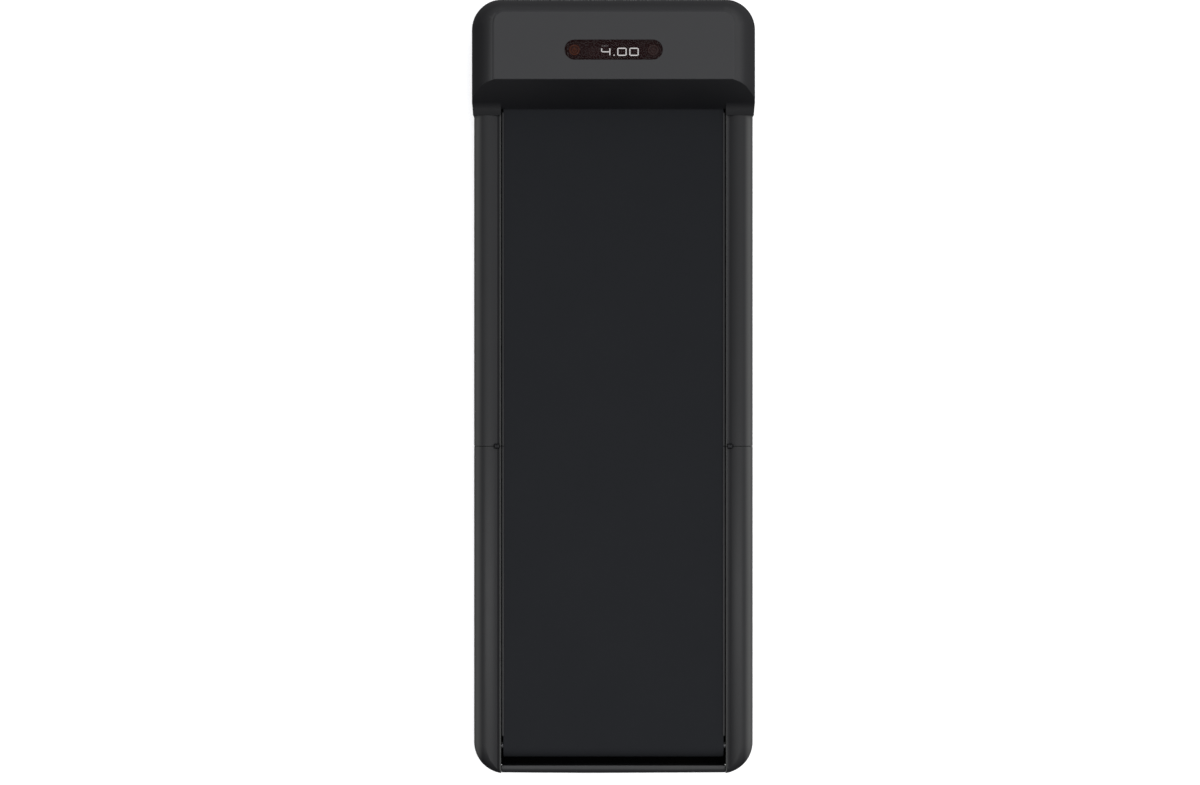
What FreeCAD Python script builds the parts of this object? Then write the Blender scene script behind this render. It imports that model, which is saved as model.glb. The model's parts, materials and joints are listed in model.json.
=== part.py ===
import FreeCAD, Part
import math
import os

V = FreeCAD.Vector

# Folding under-desk treadmill, laid flat. Millimetres.
# X is across the deck, +Y runs towards the head, Z is up from the floor.

# Overall sizes
LENGTH = 1440.0            # rear bumper to head front
BELT_W = 410.0             # running belt
HEAD_H = 125.0             # top of the head
HEAD_DEPTH = 215.0         # head front to the low end of its rear slope
FOLD_Y = -109.0            # fold seam between the deck halves
RAIL_W = 50.5              # one rail, inner wall to outer wall
CROWN_OVER = 6.0           # highest line of the rails above the walking surface

# Clearances
RUN_FIT = 0.05             # radial, shaft in bearing
MOVE_GAP = 0.3             # between faces that pass each other
SEAM = 1.0                 # between the deck halves when flat
EDGE_GAP = 0.4             # between fixed covers

# Belt and rollers
BELT_T = 1.6
ROLLER_R = 18.9
BELT_IN_R = ROLLER_R + MOVE_GAP
BELT_OUT_R = BELT_IN_R + BELT_T
ROLLER_OVER = 0.4          # roller past the belt, each side
AXLE_R = 6.0
BEARING_R = 14.0
BEARING_W = 9.0
TENSION = 8.0              # travel of the rear axle
REAR_END = 51.0            # rear roller centre from the rear end
HEAD_ROLLER = 160.0        # front roller centre from the head front

# Deck
BOARD_T = 14.0
BOARD_W = BELT_W - 10.0
BOARD_BACK = 15.0          # board end set back from the seam
TUBE = 18.0
TUBE_LIFT = 2.0            # cross tubes above the return strand
TUBE_WALL = 1.8
MEMBER_IN = 21.0           # side member from the belt edge
MEMBER_W = 18.0
MEMBER_H = 34.0
MEMBER_WALL = 2.0
FOOT_R = 14.0

# Rails
RAIL_GAP = 4.5             # belt edge to rail
RAIL_T = 2.6
RAIL_BASE = 9.0
CROWN_IN = 24.0            # crown line from the outer wall
SHOULDER_H = 18.0          # curved part of the outer wall
GROOVE_D = 5.0
GROOVE_X = 6.5             # groove bottom from the inner wall
CORNER_R = 59.0
GUIDE_T = 1.2
GUIDE_LIP = 1.4            # lip over the belt
GUIDE_OVER = 2.2           # guide top above the belt
GUIDE_LOW = 2.0            # guide foot below the board
GUIDE_END = 72.0           # guide end from the rear end
GUIDE_FRONT = 208.0        # guide end from the head front

# Fold hinge
PIN_R = 2.0
KNUCKLE_R = 4.0
LEAF_T = 4.0
LEAF_LONG = 45.0

# Head
HEAD_OVER = 3.5            # head past the rails, each side
HEAD_T = 3.0
PANEL_T = 2.0
LENS_W = 180.0
LENS_D = 36.6
LENS_BACK = 100.4          # lens centre from the head front
LIP_GAP = 4.0              # underside of the head over the belt
SLOPE_RUN = 61.0           # rear slope, top edge ahead of its low end
SLOPE_LOW = 41.0           # height of the slope's low end
SWEEP_R = 28.0             # hollow curve from the slope down to each rail
SWEEP_END = 0.6            # thickness where that curve runs out
SHOULDER_IN = 45.5         # head shoulder, outer wall to panel edge at the sides
SHOULDER_FRONT = 31.0      # the same at the front
TRAY_Z = 9.0
TRAY_T = 3.0
STRAND_GAP = 2.4           # return strand above the tray

# Drop from the head's top and share of the shoulder's width, from the wall up to the panel
SHOULDER_CURVE = [(53.0, 0.02), (40.0, 0.073), (30.3, 0.2), (15.4, 0.433), (7.0, 0.66), (0.0, 1.0)]

# Display
DIGIT_W = 17.0
DIGIT_H = 14.8
STROKE = 1.9
DIGIT_X = (-44.5, -22.9, 6.8, 28.9)
DISPLAY_DEEP = 4.0         # print under the panel face
ICON_X = (-71.8, 72.6)
ICON_R = 9.0

# Drive
MOTOR_R = 36.0
MOTOR_LEN = 120.0
MOTOR_BACK = 75.0          # motor axis from the head front
MOTOR_LIFT = 6.0           # motor can above the tray
MOTOR_IN = 23.0            # motor end from the belt edge
DRIVEN_R = 19.6
DRIVE_R = 8.4
DRIVE_W = 9.0
DRIVE_T = 1.8
SHAFT_R = 5.0

# Transport wheels
WHEEL_R = 20.0
WHEEL_W = 16.0
WHEEL_LIFT = 3.0           # wheels clear of the floor
WHEEL_BACK = 30.0

# Rear bumper
BUMPER_D = 15.0
BUMPER_TOP = 48.0
BUMPER_BOW = 1.1
BUMPER_ROUND = 9.0
SKIRT_T = 2.4              # plate under the rear roller
SKIRT_LONG = 75.0

# Worked-out heights
TRAY_TOP = TRAY_Z + TRAY_T
PCB_Z = TRAY_TOP + 12.0
PCB_TOP = PCB_Z + 1.6
ROLLER_Z = TRAY_TOP + STRAND_GAP + BELT_OUT_R
BELT_TOP = ROLLER_Z + BELT_OUT_R
CROWN_Z = BELT_TOP + CROWN_OVER
SHOULDER_Z = CROWN_Z - SHOULDER_H
GUIDE_TOP = BELT_TOP + GUIDE_OVER
LIP_Z = BELT_TOP + LIP_GAP
PIN_Z = CROWN_Z + MOVE_GAP
MEMBER_Z = TRAY_TOP
MEMBER_TOP = MEMBER_Z + MEMBER_H
BOARD_TOP = BELT_TOP - BELT_T
BOARD_Z = BOARD_TOP - BOARD_T
TUBE_Z = ROLLER_Z - BELT_IN_R + TUBE_LIFT
TUBE_TOP = TUBE_Z + TUBE
MOTOR_Z = TRAY_TOP + MOTOR_LIFT + MOTOR_R
WHEEL_Z = WHEEL_LIFT + WHEEL_R
DISPLAY_Z = HEAD_H - DISPLAY_DEEP

# Worked-out positions
Y_FRONT = LENGTH / 2
Y_REAR = -LENGTH / 2
BELT_HALF = BELT_W / 2
RAIL_IN = BELT_HALF + RAIL_GAP
RAIL_OUT = RAIL_IN + RAIL_W
CROWN_X = RAIL_OUT - CROWN_IN
HEAD_HALF = RAIL_OUT + HEAD_OVER
MEMBER_X = BELT_HALF + MEMBER_IN
SEAM_FRONT = FOLD_Y + SEAM / 2
SEAM_REAR = FOLD_Y - SEAM / 2
ROLLER_FRONT_Y = Y_FRONT - HEAD_ROLLER
ROLLER_REAR_Y = Y_REAR + REAR_END
ROLLER_HALF = BELT_HALF + ROLLER_OVER
HEAD_BACK = Y_FRONT - HEAD_DEPTH
MOTOR_Y = Y_FRONT - MOTOR_BACK
LENS_Y = Y_FRONT - LENS_BACK
DIGIT_Y = LENS_Y - 10.9
WHEEL_Y = Y_FRONT - WHEEL_BACK
WHEEL_X = BELT_HALF - 3.0
LEAF_X = RAIL_IN + RAIL_T + 0.3
BOLT_X = MEMBER_X - 8.0
BRACKET_Y = Y_REAR + 26.0 + max(0.0, MEMBER_TOP - SHOULDER_Z - 2.0)
MOTOR_X0 = -BELT_HALF + MOTOR_IN
MOTOR_X1 = MOTOR_X0 + MOTOR_LEN
PCB_X1 = BELT_HALF - 15.0
PCB_X0 = PCB_X1 - 170.0
INLET_X = BELT_HALF - 55.0
ROCKER_X = INLET_X - 46.0
ROCKER_Y = Y_FRONT - 8.0
ROCKER_TILT = 10.0


def box(x0, x1, y0, y1, z0, z1):
    return Part.makeBox(x1 - x0, y1 - y0, z1 - z0, V(x0, y0, z0))


def rod_x(x0, x1, y, z, r):
    return Part.makeCylinder(r, x1 - x0, V(x0, y, z), V(1, 0, 0))


def rod_y(x, y0, y1, z, r):
    return Part.makeCylinder(r, y1 - y0, V(x, y0, z), V(0, 1, 0))


def rod_z(x, y, z0, z1, r):
    return Part.makeCylinder(r, z1 - z0, V(x, y, z0), V(0, 0, 1))


def prism_x(points, x0, x1):
    wire = Part.makePolygon([V(x0, y, z) for y, z in points + points[:1]])
    return Part.Face(wire).extrude(V(x1 - x0, 0, 0))


def prism_z(points, z0, z1):
    wire = Part.makePolygon([V(x, y, z0) for x, y in points + points[:1]])
    return Part.Face(wire).extrude(V(0, 0, z1 - z0))


def pill(x, y, width, depth, z0, z1):
    r = depth / 2
    reach = width / 2 - r
    ends = [rod_z(x + side * reach, y, z0, z1, r) for side in (-1, 1)]
    return box(x - reach, x + reach, y - r, y + r, z0, z1).fuse(ends).removeSplitter()


def fuse(parts):
    if len(parts) == 1:
        return parts[0]
    return parts[0].fuse(parts[1:]).removeSplitter()


def cut(shape, tools):
    return shape.cut(tools)


def flip(shape):
    return shape.mirror(V(0, 0, 0), V(1, 0, 0))


def save(name, *solids):
    shapes = []
    for solid in solids:
        shapes += solid.Solids
    for solid in shapes:
        if not solid.isValid():
            raise ValueError("bad solid in " + name)
    Part.makeCompound(shapes).exportStep("parts/" + name + ".step")


def save_pair(name, right):
    save(name + "_right", right)
    save(name + "_left", flip(right))


# Rails

def rail_face(grow, y, inner, top_drop, base):
    outer = RAIL_OUT + grow
    top = CROWN_Z + grow - top_drop
    wide = CROWN_IN + grow
    high = top - SHOULDER_Z
    centre = V(CROWN_X, y, SHOULDER_Z)
    oval = Part.Ellipse(centre + V(wide, 0, 0), centre + V(0, 0, high), centre)
    arc = Part.ArcOfEllipse(oval, 0, math.pi / 2).toShape()
    lines = [
        Part.makeLine(V(CROWN_X, y, top), V(inner, y, top)),
        Part.makeLine(V(inner, y, top), V(inner, y, base)),
        Part.makeLine(V(inner, y, base), V(outer, y, base)),
        Part.makeLine(V(outer, y, base), V(outer, y, SHOULDER_Z)),
    ]
    return Part.Face(Part.Wire(Part.__sortEdges__([arc] + lines)))


def groove(y0, y1):
    bottom = RAIL_IN + GROOVE_X
    span = CROWN_X - bottom
    low = CROWN_Z - GROOVE_D
    mid = V((CROWN_X + bottom) / 2, y0, CROWN_Z - GROOVE_D / 4)
    arc = Part.Arc(V(CROWN_X, y0, CROWN_Z), mid, V(bottom, y0, low)).toShape()
    path = [
        V(bottom, y0, low),
        V(RAIL_IN + 3.0, y0, low + GROOVE_D * 0.42),
        V(RAIL_IN + 1.4, y0, low + GROOVE_D * 0.5),
        V(RAIL_IN - 0.2, y0, low - 0.4),
        V(RAIL_IN - 0.2, y0, CROWN_Z + 1.0),
        V(CROWN_X, y0, CROWN_Z + 1.0),
        V(CROWN_X, y0, CROWN_Z),
    ]
    edges = [Part.makeLine(a, b) for a, b in zip(path, path[1:])]
    face = Part.Face(Part.Wire(Part.__sortEdges__([arc] + edges)))
    return face.extrude(V(0, y1 - y0, 0))


def hinge_notch():
    x0 = LEAF_X - 0.5
    x1 = LEAF_X + 2 * LEAF_T + MOVE_GAP + 0.5
    reach = KNUCKLE_R + 0.8
    low = PIN_Z - KNUCKLE_R - 4.0
    return box(x0, x1, FOLD_Y - reach, FOLD_Y + reach, low, PIN_Z + 2.0)


def rail_ribs(y0, y1, count):
    step = (y1 - y0) / count
    inner = RAIL_IN + RAIL_T
    ribs = []
    for i in range(count):
        y = y0 + step * (i + 0.5)
        ribs.append(box(inner, RAIL_OUT - 8.0, y - 1.5, y + 1.5, MEMBER_TOP, SHOULDER_Z + 10.0))
    return ribs


def front_rail():
    y1 = HEAD_BACK + 25.0
    length = y1 - SEAM_FRONT
    outer = rail_face(0, SEAM_FRONT, RAIL_IN, 0, RAIL_BASE).extrude(V(0, length, 0))
    inner = rail_face(-RAIL_T, SEAM_FRONT - 1, RAIL_IN + RAIL_T, GROOVE_D + 0.001, 0)
    inner = inner.extrude(V(0, length + 2, 0))
    low = BOARD_Z - GUIDE_LOW - 2.4
    short = box(RAIL_IN - 1, MEMBER_X, SEAM_FRONT - 1, y1 + 1, 0, low)
    shell = cut(outer, [inner, groove(SEAM_FRONT - 1, y1 + 1), short])
    ribs = rail_ribs(SEAM_FRONT + 60.0, y1 - 20.0, 4)
    return cut(fuse([shell] + ribs), [hinge_notch()])


def round_end(face, axis_y):
    axis = V(RAIL_OUT - CORNER_R, axis_y, 0)
    return face.revolve(axis, V(0, 0, -1), 90)


def rear_rail():
    corner_y = Y_REAR + CORNER_R
    length = SEAM_REAR - corner_y
    face = rail_face(0, corner_y, RAIL_IN, 0, RAIL_BASE)
    outer = fuse([face.extrude(V(0, length, 0)), round_end(face, corner_y)])
    keep = box(RAIL_IN, RAIL_OUT + 1, Y_REAR - 1, SEAM_REAR, 0, HEAD_H)
    outer = outer.common(keep)
    face = rail_face(-RAIL_T, corner_y, RAIL_IN + RAIL_T, GROOVE_D + 0.001, 0)
    inner = fuse([face.extrude(V(0, length + 1, 0)), round_end(face, corner_y)])
    keep = box(RAIL_IN + RAIL_T, RAIL_OUT, Y_REAR, SEAM_REAR + 1, -1, HEAD_H)
    inner = inner.common(keep)
    guide_y = Y_REAR + GUIDE_END - 2.0
    low = BOARD_Z - GUIDE_LOW - 2.4
    short = box(RAIL_IN - 1, MEMBER_X - 6, guide_y, SEAM_REAR + 1, 0, low)
    over_axle = ROLLER_Z + AXLE_R + 2.8
    open_end = box(RAIL_IN - 1, MEMBER_X - 6, Y_REAR + RAIL_T + 1.5, guide_y, 0, over_axle)
    access = rod_y(BOLT_X, Y_REAR - 1, Y_REAR + 12, ROLLER_Z, 4.0)
    shell = cut(outer, [inner, groove(Y_REAR - 1, SEAM_REAR + 1), short, open_end, access])
    ribs = rail_ribs(corner_y + 20.0, SEAM_REAR - 60.0, 3)
    return cut(fuse([shell] + ribs), [hinge_notch()])


def guide(y0, y1):
    wall = BELT_HALF + 0.8
    low = BOARD_Z - GUIDE_LOW
    leg = box(wall, wall + GUIDE_T, y0, y1, low, GUIDE_TOP)
    lip = box(BELT_HALF - GUIDE_LIP, wall, y0, y1, GUIDE_TOP - GUIDE_T, GUIDE_TOP)
    foot = box(wall + GUIDE_T, RAIL_IN, y0, y1, low, low + 3.0)
    return fuse([leg, lip, foot])


# Frame

def side_member(y0, y1):
    outer = box(MEMBER_X, MEMBER_X + MEMBER_W, y0, y1, MEMBER_Z, MEMBER_TOP)
    w = MEMBER_WALL
    inner = box(MEMBER_X + w, MEMBER_X + MEMBER_W - w, y0 - 1, y1 + 1, MEMBER_Z + w, MEMBER_TOP - w)
    return cut(outer, [inner])


def cross_tube(y):
    outer = box(-MEMBER_X, MEMBER_X, y - TUBE / 2, y + TUBE / 2, TUBE_Z, TUBE_TOP)
    w = TUBE_WALL
    inner = box(-MEMBER_X - 1, MEMBER_X + 1, y - TUBE / 2 + w, y + TUBE / 2 - w, TUBE_Z + w, TUBE_TOP - w)
    return cut(outer, [inner])


def cushions(y):
    pads = []
    for x in (-0.36 * BOARD_W, 0.0, 0.36 * BOARD_W):
        pads.append(box(x - 30, x + 30, y - 7, y + 7, TUBE_TOP, BOARD_Z))
    return pads


def spread(y0, y1, count):
    return [y0 + (y1 - y0) * i / (count - 1) for i in range(count)]


def foot(y, top):
    pad = rod_z(MEMBER_X + MEMBER_W / 2, y, 0, top - 4, FOOT_R)
    neck = rod_z(MEMBER_X + MEMBER_W / 2, y, top - 4, top, FOOT_R - 6)
    pad = pad.makeFillet(1.5, [e for e in pad.Edges if e.BoundBox.ZMax < 0.1 and e.BoundBox.XLength > 1])
    return fuse([pad, neck])


# Belt, rollers and axles

def belt(seam_y, roller_y):
    sign = 1 if roller_y > seam_y else -1
    low, high = sorted((seam_y, roller_y))
    outer = box(-BELT_HALF, BELT_HALF, low, high, ROLLER_Z - BELT_OUT_R, BELT_TOP)
    outer = fuse([outer, rod_x(-BELT_HALF, BELT_HALF, roller_y, ROLLER_Z, BELT_OUT_R)])
    low, high = sorted((seam_y - sign * 5, roller_y))
    inner = box(-BELT_HALF - 1, BELT_HALF + 1, low, high, ROLLER_Z - BELT_IN_R, BOARD_TOP)
    inner = fuse([inner, rod_x(-BELT_HALF - 1, BELT_HALF + 1, roller_y, ROLLER_Z, BELT_IN_R)])
    return cut(outer, [inner])


def roller(y):
    tube = rod_x(-ROLLER_HALF, ROLLER_HALF, y, ROLLER_Z, ROLLER_R)
    bore = rod_x(-ROLLER_HALF - 1, ROLLER_HALF + 1, y, ROLLER_Z, BEARING_R)
    return cut(tube, [bore])


def bearings(y):
    rings = []
    for x0 in (-ROLLER_HALF, ROLLER_HALF - BEARING_W):
        ring = rod_x(x0, x0 + BEARING_W, y, ROLLER_Z, BEARING_R)
        rings.append(cut(ring, [rod_x(x0 - 1, x0 + BEARING_W + 1, y, ROLLER_Z, AXLE_R + RUN_FIT)]))
    return rings


def driven_pulley():
    x1 = -ROLLER_HALF - 3.0
    x0 = x1 - DRIVE_W - 1.0
    wheel = rod_x(x0, x1, ROLLER_FRONT_Y, ROLLER_Z, DRIVEN_R)
    hub = rod_x(x1, -ROLLER_HALF, ROLLER_FRONT_Y, ROLLER_Z, BEARING_R - 1)
    bore = rod_x(x0 - 1, -ROLLER_HALF + 1, ROLLER_FRONT_Y, ROLLER_Z, AXLE_R + MOVE_GAP)
    return cut(fuse([wheel, hub]), [bore])


def front_axle():
    axle = rod_x(-MEMBER_X, MEMBER_X, ROLLER_FRONT_Y, ROLLER_Z, AXLE_R)
    return axle


def rear_axle():
    half = MEMBER_X - 1.0
    axle = rod_x(-half, half, ROLLER_REAR_Y, ROLLER_Z, AXLE_R)
    holes = []
    for side in (-1, 1):
        x = side * BOLT_X
        holes.append(rod_y(x, ROLLER_REAR_Y - AXLE_R - 1, ROLLER_REAR_Y + AXLE_R + 1, ROLLER_Z, 3.0 + MOVE_GAP))
    return cut(axle, holes)


def tension_bolt():
    y1 = BRACKET_Y - MOVE_GAP
    head = rod_y(BOLT_X, y1 - 5.0, y1, ROLLER_Z, 5.0)
    socket = rod_y(BOLT_X, y1 - 6.0, y1 - 2.5, ROLLER_Z, 2.4)
    shank = rod_y(BOLT_X, y1, ROLLER_REAR_Y + AXLE_R + TENSION + 5.0, ROLLER_Z, 3.0)
    return cut(fuse([head, shank]), [socket])


def axle_bracket():
    x0 = BOLT_X - 6.0
    back = BRACKET_Y
    front = ROLLER_REAR_Y + AXLE_R + TENSION + 16.0
    web = box(MEMBER_X - 3.0, MEMBER_X, back, front, ROLLER_Z - 12, ROLLER_Z + 12)
    end = box(x0, MEMBER_X, back, back + 4.0, ROLLER_Z - 19, ROLLER_Z + 8)
    slot_r = AXLE_R + MOVE_GAP
    low, high = ROLLER_Z - slot_r, ROLLER_Z + slot_r
    slot = box(MEMBER_X - 4, MEMBER_X + 1, ROLLER_REAR_Y, ROLLER_REAR_Y + TENSION, low, high)
    ends = [rod_x(MEMBER_X - 4, MEMBER_X + 1, ROLLER_REAR_Y + t, ROLLER_Z, slot_r) for t in (0, TENSION)]
    hole = rod_y(BOLT_X, back - 1, back + 5, ROLLER_Z, 3.0 + MOVE_GAP)
    return cut(fuse([web, end]), [slot, hole] + ends)


# Fold hinge

def hinge_leaf(sign):
    x0 = LEAF_X if sign > 0 else LEAF_X + LEAF_T + MOVE_GAP
    x1 = x0 + LEAF_T
    ring = rod_x(x0, x1, FOLD_Y, PIN_Z, KNUCKLE_R)
    near = SEAM / 2
    under_rail = GROOVE_D + RAIL_T + 2 * MOVE_GAP
    points = [
        (near, -1.0),
        (KNUCKLE_R - 0.2, -1.0),
        (KNUCKLE_R - 0.2, -under_rail),
        (LEAF_LONG * 0.5, -under_rail),
        (LEAF_LONG, -24.0),
        (LEAF_LONG, -42.0),
        (near, -42.0),
    ]
    arm = prism_x([(FOLD_Y + sign * y, PIN_Z + z) for y, z in points], x0, x1)
    ys = sorted((FOLD_Y + sign * 14.0, FOLD_Y + sign * (LEAF_LONG - 2)))
    spacer = box(x1, MEMBER_X, ys[0], ys[1], PIN_Z - 40.0, PIN_Z - 26.0)
    play = 0 if sign > 0 else RUN_FIT
    bore = rod_x(x0 - 1, x1 + 1, FOLD_Y, PIN_Z, PIN_R + play)
    return cut(fuse([ring, arm, spacer]), [bore])


def hinge_pin():
    x1 = LEAF_X + 2 * LEAF_T + MOVE_GAP
    return rod_x(LEAF_X, x1, FOLD_Y, PIN_Z, PIN_R)


# Head

def head_outline(half, front, radius, z, back):
    a = V(-half, back, z)
    b = V(half, back, z)
    c = V(half, front - radius, z)
    d = V(half - radius, front, z)
    e = V(radius - half, front, z)
    f = V(-half, front - radius, z)
    k = radius * (1 - math.sqrt(0.5))
    right = Part.Arc(c, V(half - k, front - k, z), d).toShape()
    left = Part.Arc(e, V(k - half, front - k, z), f).toShape()
    return Part.Wire([
        Part.makeLine(a, b),
        Part.makeLine(b, c),
        right,
        Part.makeLine(d, e),
        left,
        Part.makeLine(f, a),
    ])


def head_block(inset, top, back):
    # height, half width, front edge and corner radius of the head's rounded shoulder
    rows = [(RAIL_BASE, HEAD_HALF - 1.5, Y_FRONT - 1.0, 55.0), (50.0, HEAD_HALF, Y_FRONT, 56.0)]
    for down, share in SHOULDER_CURVE:
        half = HEAD_HALF - SHOULDER_IN * share
        rows.append((HEAD_H - down, half, Y_FRONT - SHOULDER_FRONT * share, 56.0 - 38.0 * share))
    low, high = rows[-2], rows[-1]
    share = (top - low[0]) / (high[0] - low[0])
    last = tuple(a + (b - a) * share for a, b in zip(low, high))
    rows = rows[:-1] + [last]
    if inset:
        rows[0] = (RAIL_BASE - 5.0,) + rows[0][1:]
    wires = []
    for z, half, front, radius in rows:
        wires.append(head_outline(half - inset, front - inset, radius - min(inset, 2.5), z, back))
    return Part.makeLoft(wires, True, True)


def behind_slope(shift, half=HEAD_HALF + 5):
    y0 = HEAD_BACK + shift
    rate = SLOPE_RUN / (HEAD_H - SLOPE_LOW)
    top = HEAD_H + 20.0
    points = [
        (HEAD_BACK - 120, -5.0),
        (y0, -5.0),
        (y0, SLOPE_LOW),
        (y0 + rate * (top - SLOPE_LOW), top),
        (HEAD_BACK - 120, top),
    ]
    return prism_x(points, -half, half)


def sweep_points():
    """Foot, middle and head of the hollow curve over the rails, as (y, z)."""
    low = CROWN_Z + EDGE_GAP + SWEEP_END
    lean = math.atan2(HEAD_H - SLOPE_LOW, SLOPE_RUN)
    corner = HEAD_BACK + (low - SLOPE_LOW) / math.tan(lean)
    reach = SWEEP_R * math.tan(lean / 2)
    foot_end = (corner - reach, low)
    middle = (foot_end[0] + SWEEP_R * math.sin(lean / 2), low + SWEEP_R * (1 - math.cos(lean / 2)))
    head_end = (foot_end[0] + SWEEP_R * math.sin(lean), low + SWEEP_R * (1 - math.cos(lean)))
    return foot_end, middle, head_end


def behind_sweep():
    foot_end, middle, head_end = sweep_points()
    top = HEAD_H + 20.0
    x0 = RAIL_IN - EDGE_GAP
    reach = (top - SLOPE_LOW) * SLOPE_RUN / (HEAD_H - SLOPE_LOW)
    far = HEAD_BACK - 120
    path = [head_end, (HEAD_BACK + reach, top), (far, top), (far, -5.0), (foot_end[0], -5.0), foot_end]
    path = [V(x0, y, z) for y, z in path]
    edges = [Part.makeLine(a, b) for a, b in zip(path, path[1:])]
    edges.append(Part.Arc(V(x0, *foot_end), V(x0, *middle), V(x0, *head_end)).toShape())
    face = Part.Face(Part.Wire(Part.__sortEdges__(edges)))
    right = face.extrude(V(HEAD_HALF + 5 - x0, 0, 0))
    return [right, flip(right)]


def wing_taper():
    a = sweep_points()[0][0]
    b = HEAD_BACK + 40.0
    wide = HEAD_HALF + 4
    points = [(RAIL_OUT + EDGE_GAP + SWEEP_END, a - 1), (HEAD_HALF + 0.1, b), (wide, b), (wide, a - 1)]
    right = prism_z(points, -1, HEAD_H)
    return [right, flip(right)]


def boss_points():
    front = [(MOTOR_X1 + 22, Y_FRONT - 40), (PCB_X0 - 12, Y_FRONT - 40), (BELT_HALF, Y_FRONT - 66)]
    return front + [(MOTOR_X1 + 2, Y_FRONT - 128), (PCB_X0 + 80, Y_FRONT - 128)]


def socket_window():
    return box(INLET_X - 16, INLET_X + 16, Y_FRONT - 12, Y_FRONT + 2, 20.0, 46.0)


def switch_window():
    return box(ROCKER_X - 12, ROCKER_X + 12, Y_FRONT - 12, Y_FRONT + 2, 24.0, 42.0)


def head_cover():
    back = HEAD_BACK - 60.0
    top = HEAD_H - PANEL_T
    outer = cut(head_block(0, top, back), [behind_slope(0, RAIL_IN - EDGE_GAP)] + behind_sweep() + wing_taper())
    hollow = head_block(HEAD_T, top - HEAD_T, back)
    hollow = cut(hollow, [behind_slope(HEAD_T + 1.0)])
    floor_z = LIP_Z
    near = box(-RAIL_IN, RAIL_IN, back, HEAD_BACK + 60.0, -5, floor_z)
    y1 = HEAD_BACK + 27.0
    right = rail_face(EDGE_GAP, back, RAIL_IN - EDGE_GAP, 0, 0)
    right = right.extrude(V(0, y1 - back, 0))
    window = pill(0, LENS_Y, LENS_W - 6, LENS_D - 6, top - 10, top + 5)
    tools = [hollow, near, right, flip(right), window, socket_window(), switch_window()]
    shell = cut(outer, tools)
    posts = [rod_z(x, y, TRAY_TOP, top - 1, 4.5) for x, y in boss_points()]
    return fuse([shell] + posts)


def top_panel():
    top = HEAD_H
    back = HEAD_BACK - 60.0
    block = head_block(0, top, back)
    slab = box(-HEAD_HALF, HEAD_HALF, HEAD_BACK, Y_FRONT, top - PANEL_T, top + 1)
    plate = cut(block.common(slab), [behind_slope(0)])
    return cut(plate, [pill(0, LENS_Y, LENS_W, LENS_D, top - 5, top + 5)])


def lens():
    gap = 0.15
    plate = pill(0, LENS_Y, LENS_W - 2 * gap, LENS_D - 2 * gap, HEAD_H - PANEL_T, HEAD_H)
    return plate


# Display

SEGMENTS = {
    "a": (0, 1, 1, 1),
    "b": (1, 0.5, 1, 1),
    "c": (1, 0, 1, 0.5),
    "d": (0, 0, 1, 0),
    "e": (0, 0, 0, 0.5),
    "f": (0, 0.5, 0, 1),
    "g": (0, 0.5, 1, 0.5),
}


def segment(x, name, z0, z1):
    ax, ay, bx, by = SEGMENTS[name]
    half = STROKE / 2
    w = DIGIT_W - STROKE
    h = DIGIT_H - STROKE
    x0, x1 = x + half + ax * w, x + half + bx * w
    y0, y1 = DIGIT_Y + half + ay * h, DIGIT_Y + half + by * h
    if ay == by:
        return box(x0 + half, x1 - half, y0 - half, y1 + half, z0, z1)
    return box(x0 - half, x1 + half, y0 + half * 0.2, y1 - half * 0.2, z0, z1)


def digit(x, lit):
    return [segment(x, name, DISPLAY_Z, DISPLAY_Z + 0.4) for name in lit]


def lit_digits():
    solids = digit(DIGIT_X[1], "bcfg") + digit(DIGIT_X[2], "abcdef") + digit(DIGIT_X[3], "abcdef")
    solids.append(rod_z(0.9, DIGIT_Y + 1.2, DISPLAY_Z, DISPLAY_Z + 0.4, 1.2))
    return solids


def unlit_segments():
    first_two = digit(DIGIT_X[0], "abcdefg") + digit(DIGIT_X[1], "ade")
    return first_two + digit(DIGIT_X[2], "g") + digit(DIGIT_X[3], "g")


def touch_icons():
    solids = []
    for x in ICON_X:
        ring = rod_z(x, LENS_Y, DISPLAY_Z, DISPLAY_Z + 0.4, ICON_R)
        solids.append(cut(ring, [rod_z(x, LENS_Y, DISPLAY_Z - 1, DISPLAY_Z + 1, ICON_R - 1.2)]))
        solids.append(box(x - 0.7, x + 0.7, LENS_Y - 0.5, LENS_Y + 5.0, DISPLAY_Z, DISPLAY_Z + 0.4))
        inner = rod_z(x, LENS_Y - 0.8, DISPLAY_Z, DISPLAY_Z + 0.4, 4.2)
        inner = cut(inner, [rod_z(x, LENS_Y - 0.8, DISPLAY_Z - 1, DISPLAY_Z + 1, 3.0)])
        solids.append(cut(inner, [box(x - 1.7, x + 1.7, LENS_Y, LENS_Y + 6, DISPLAY_Z - 1, DISPLAY_Z + 1)]))
    return solids


def display_board():
    z1 = DISPLAY_Z
    face = pill(0, LENS_Y, LENS_W - 8, LENS_D - 8, z1 - 4.0, z1)
    board = box(-98, 98, LENS_Y - 22, LENS_Y + 22, z1 - 6.0, z1 - 4.0)
    posts = []
    for x in (-94, 94):
        for y in (-18, 18):
            posts.append(rod_z(x, LENS_Y + y, z1 - 4.0, HEAD_H - PANEL_T - HEAD_T, 3.0))
    return fuse([face, board] + posts)


# Head base, drive and electrics

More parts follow.
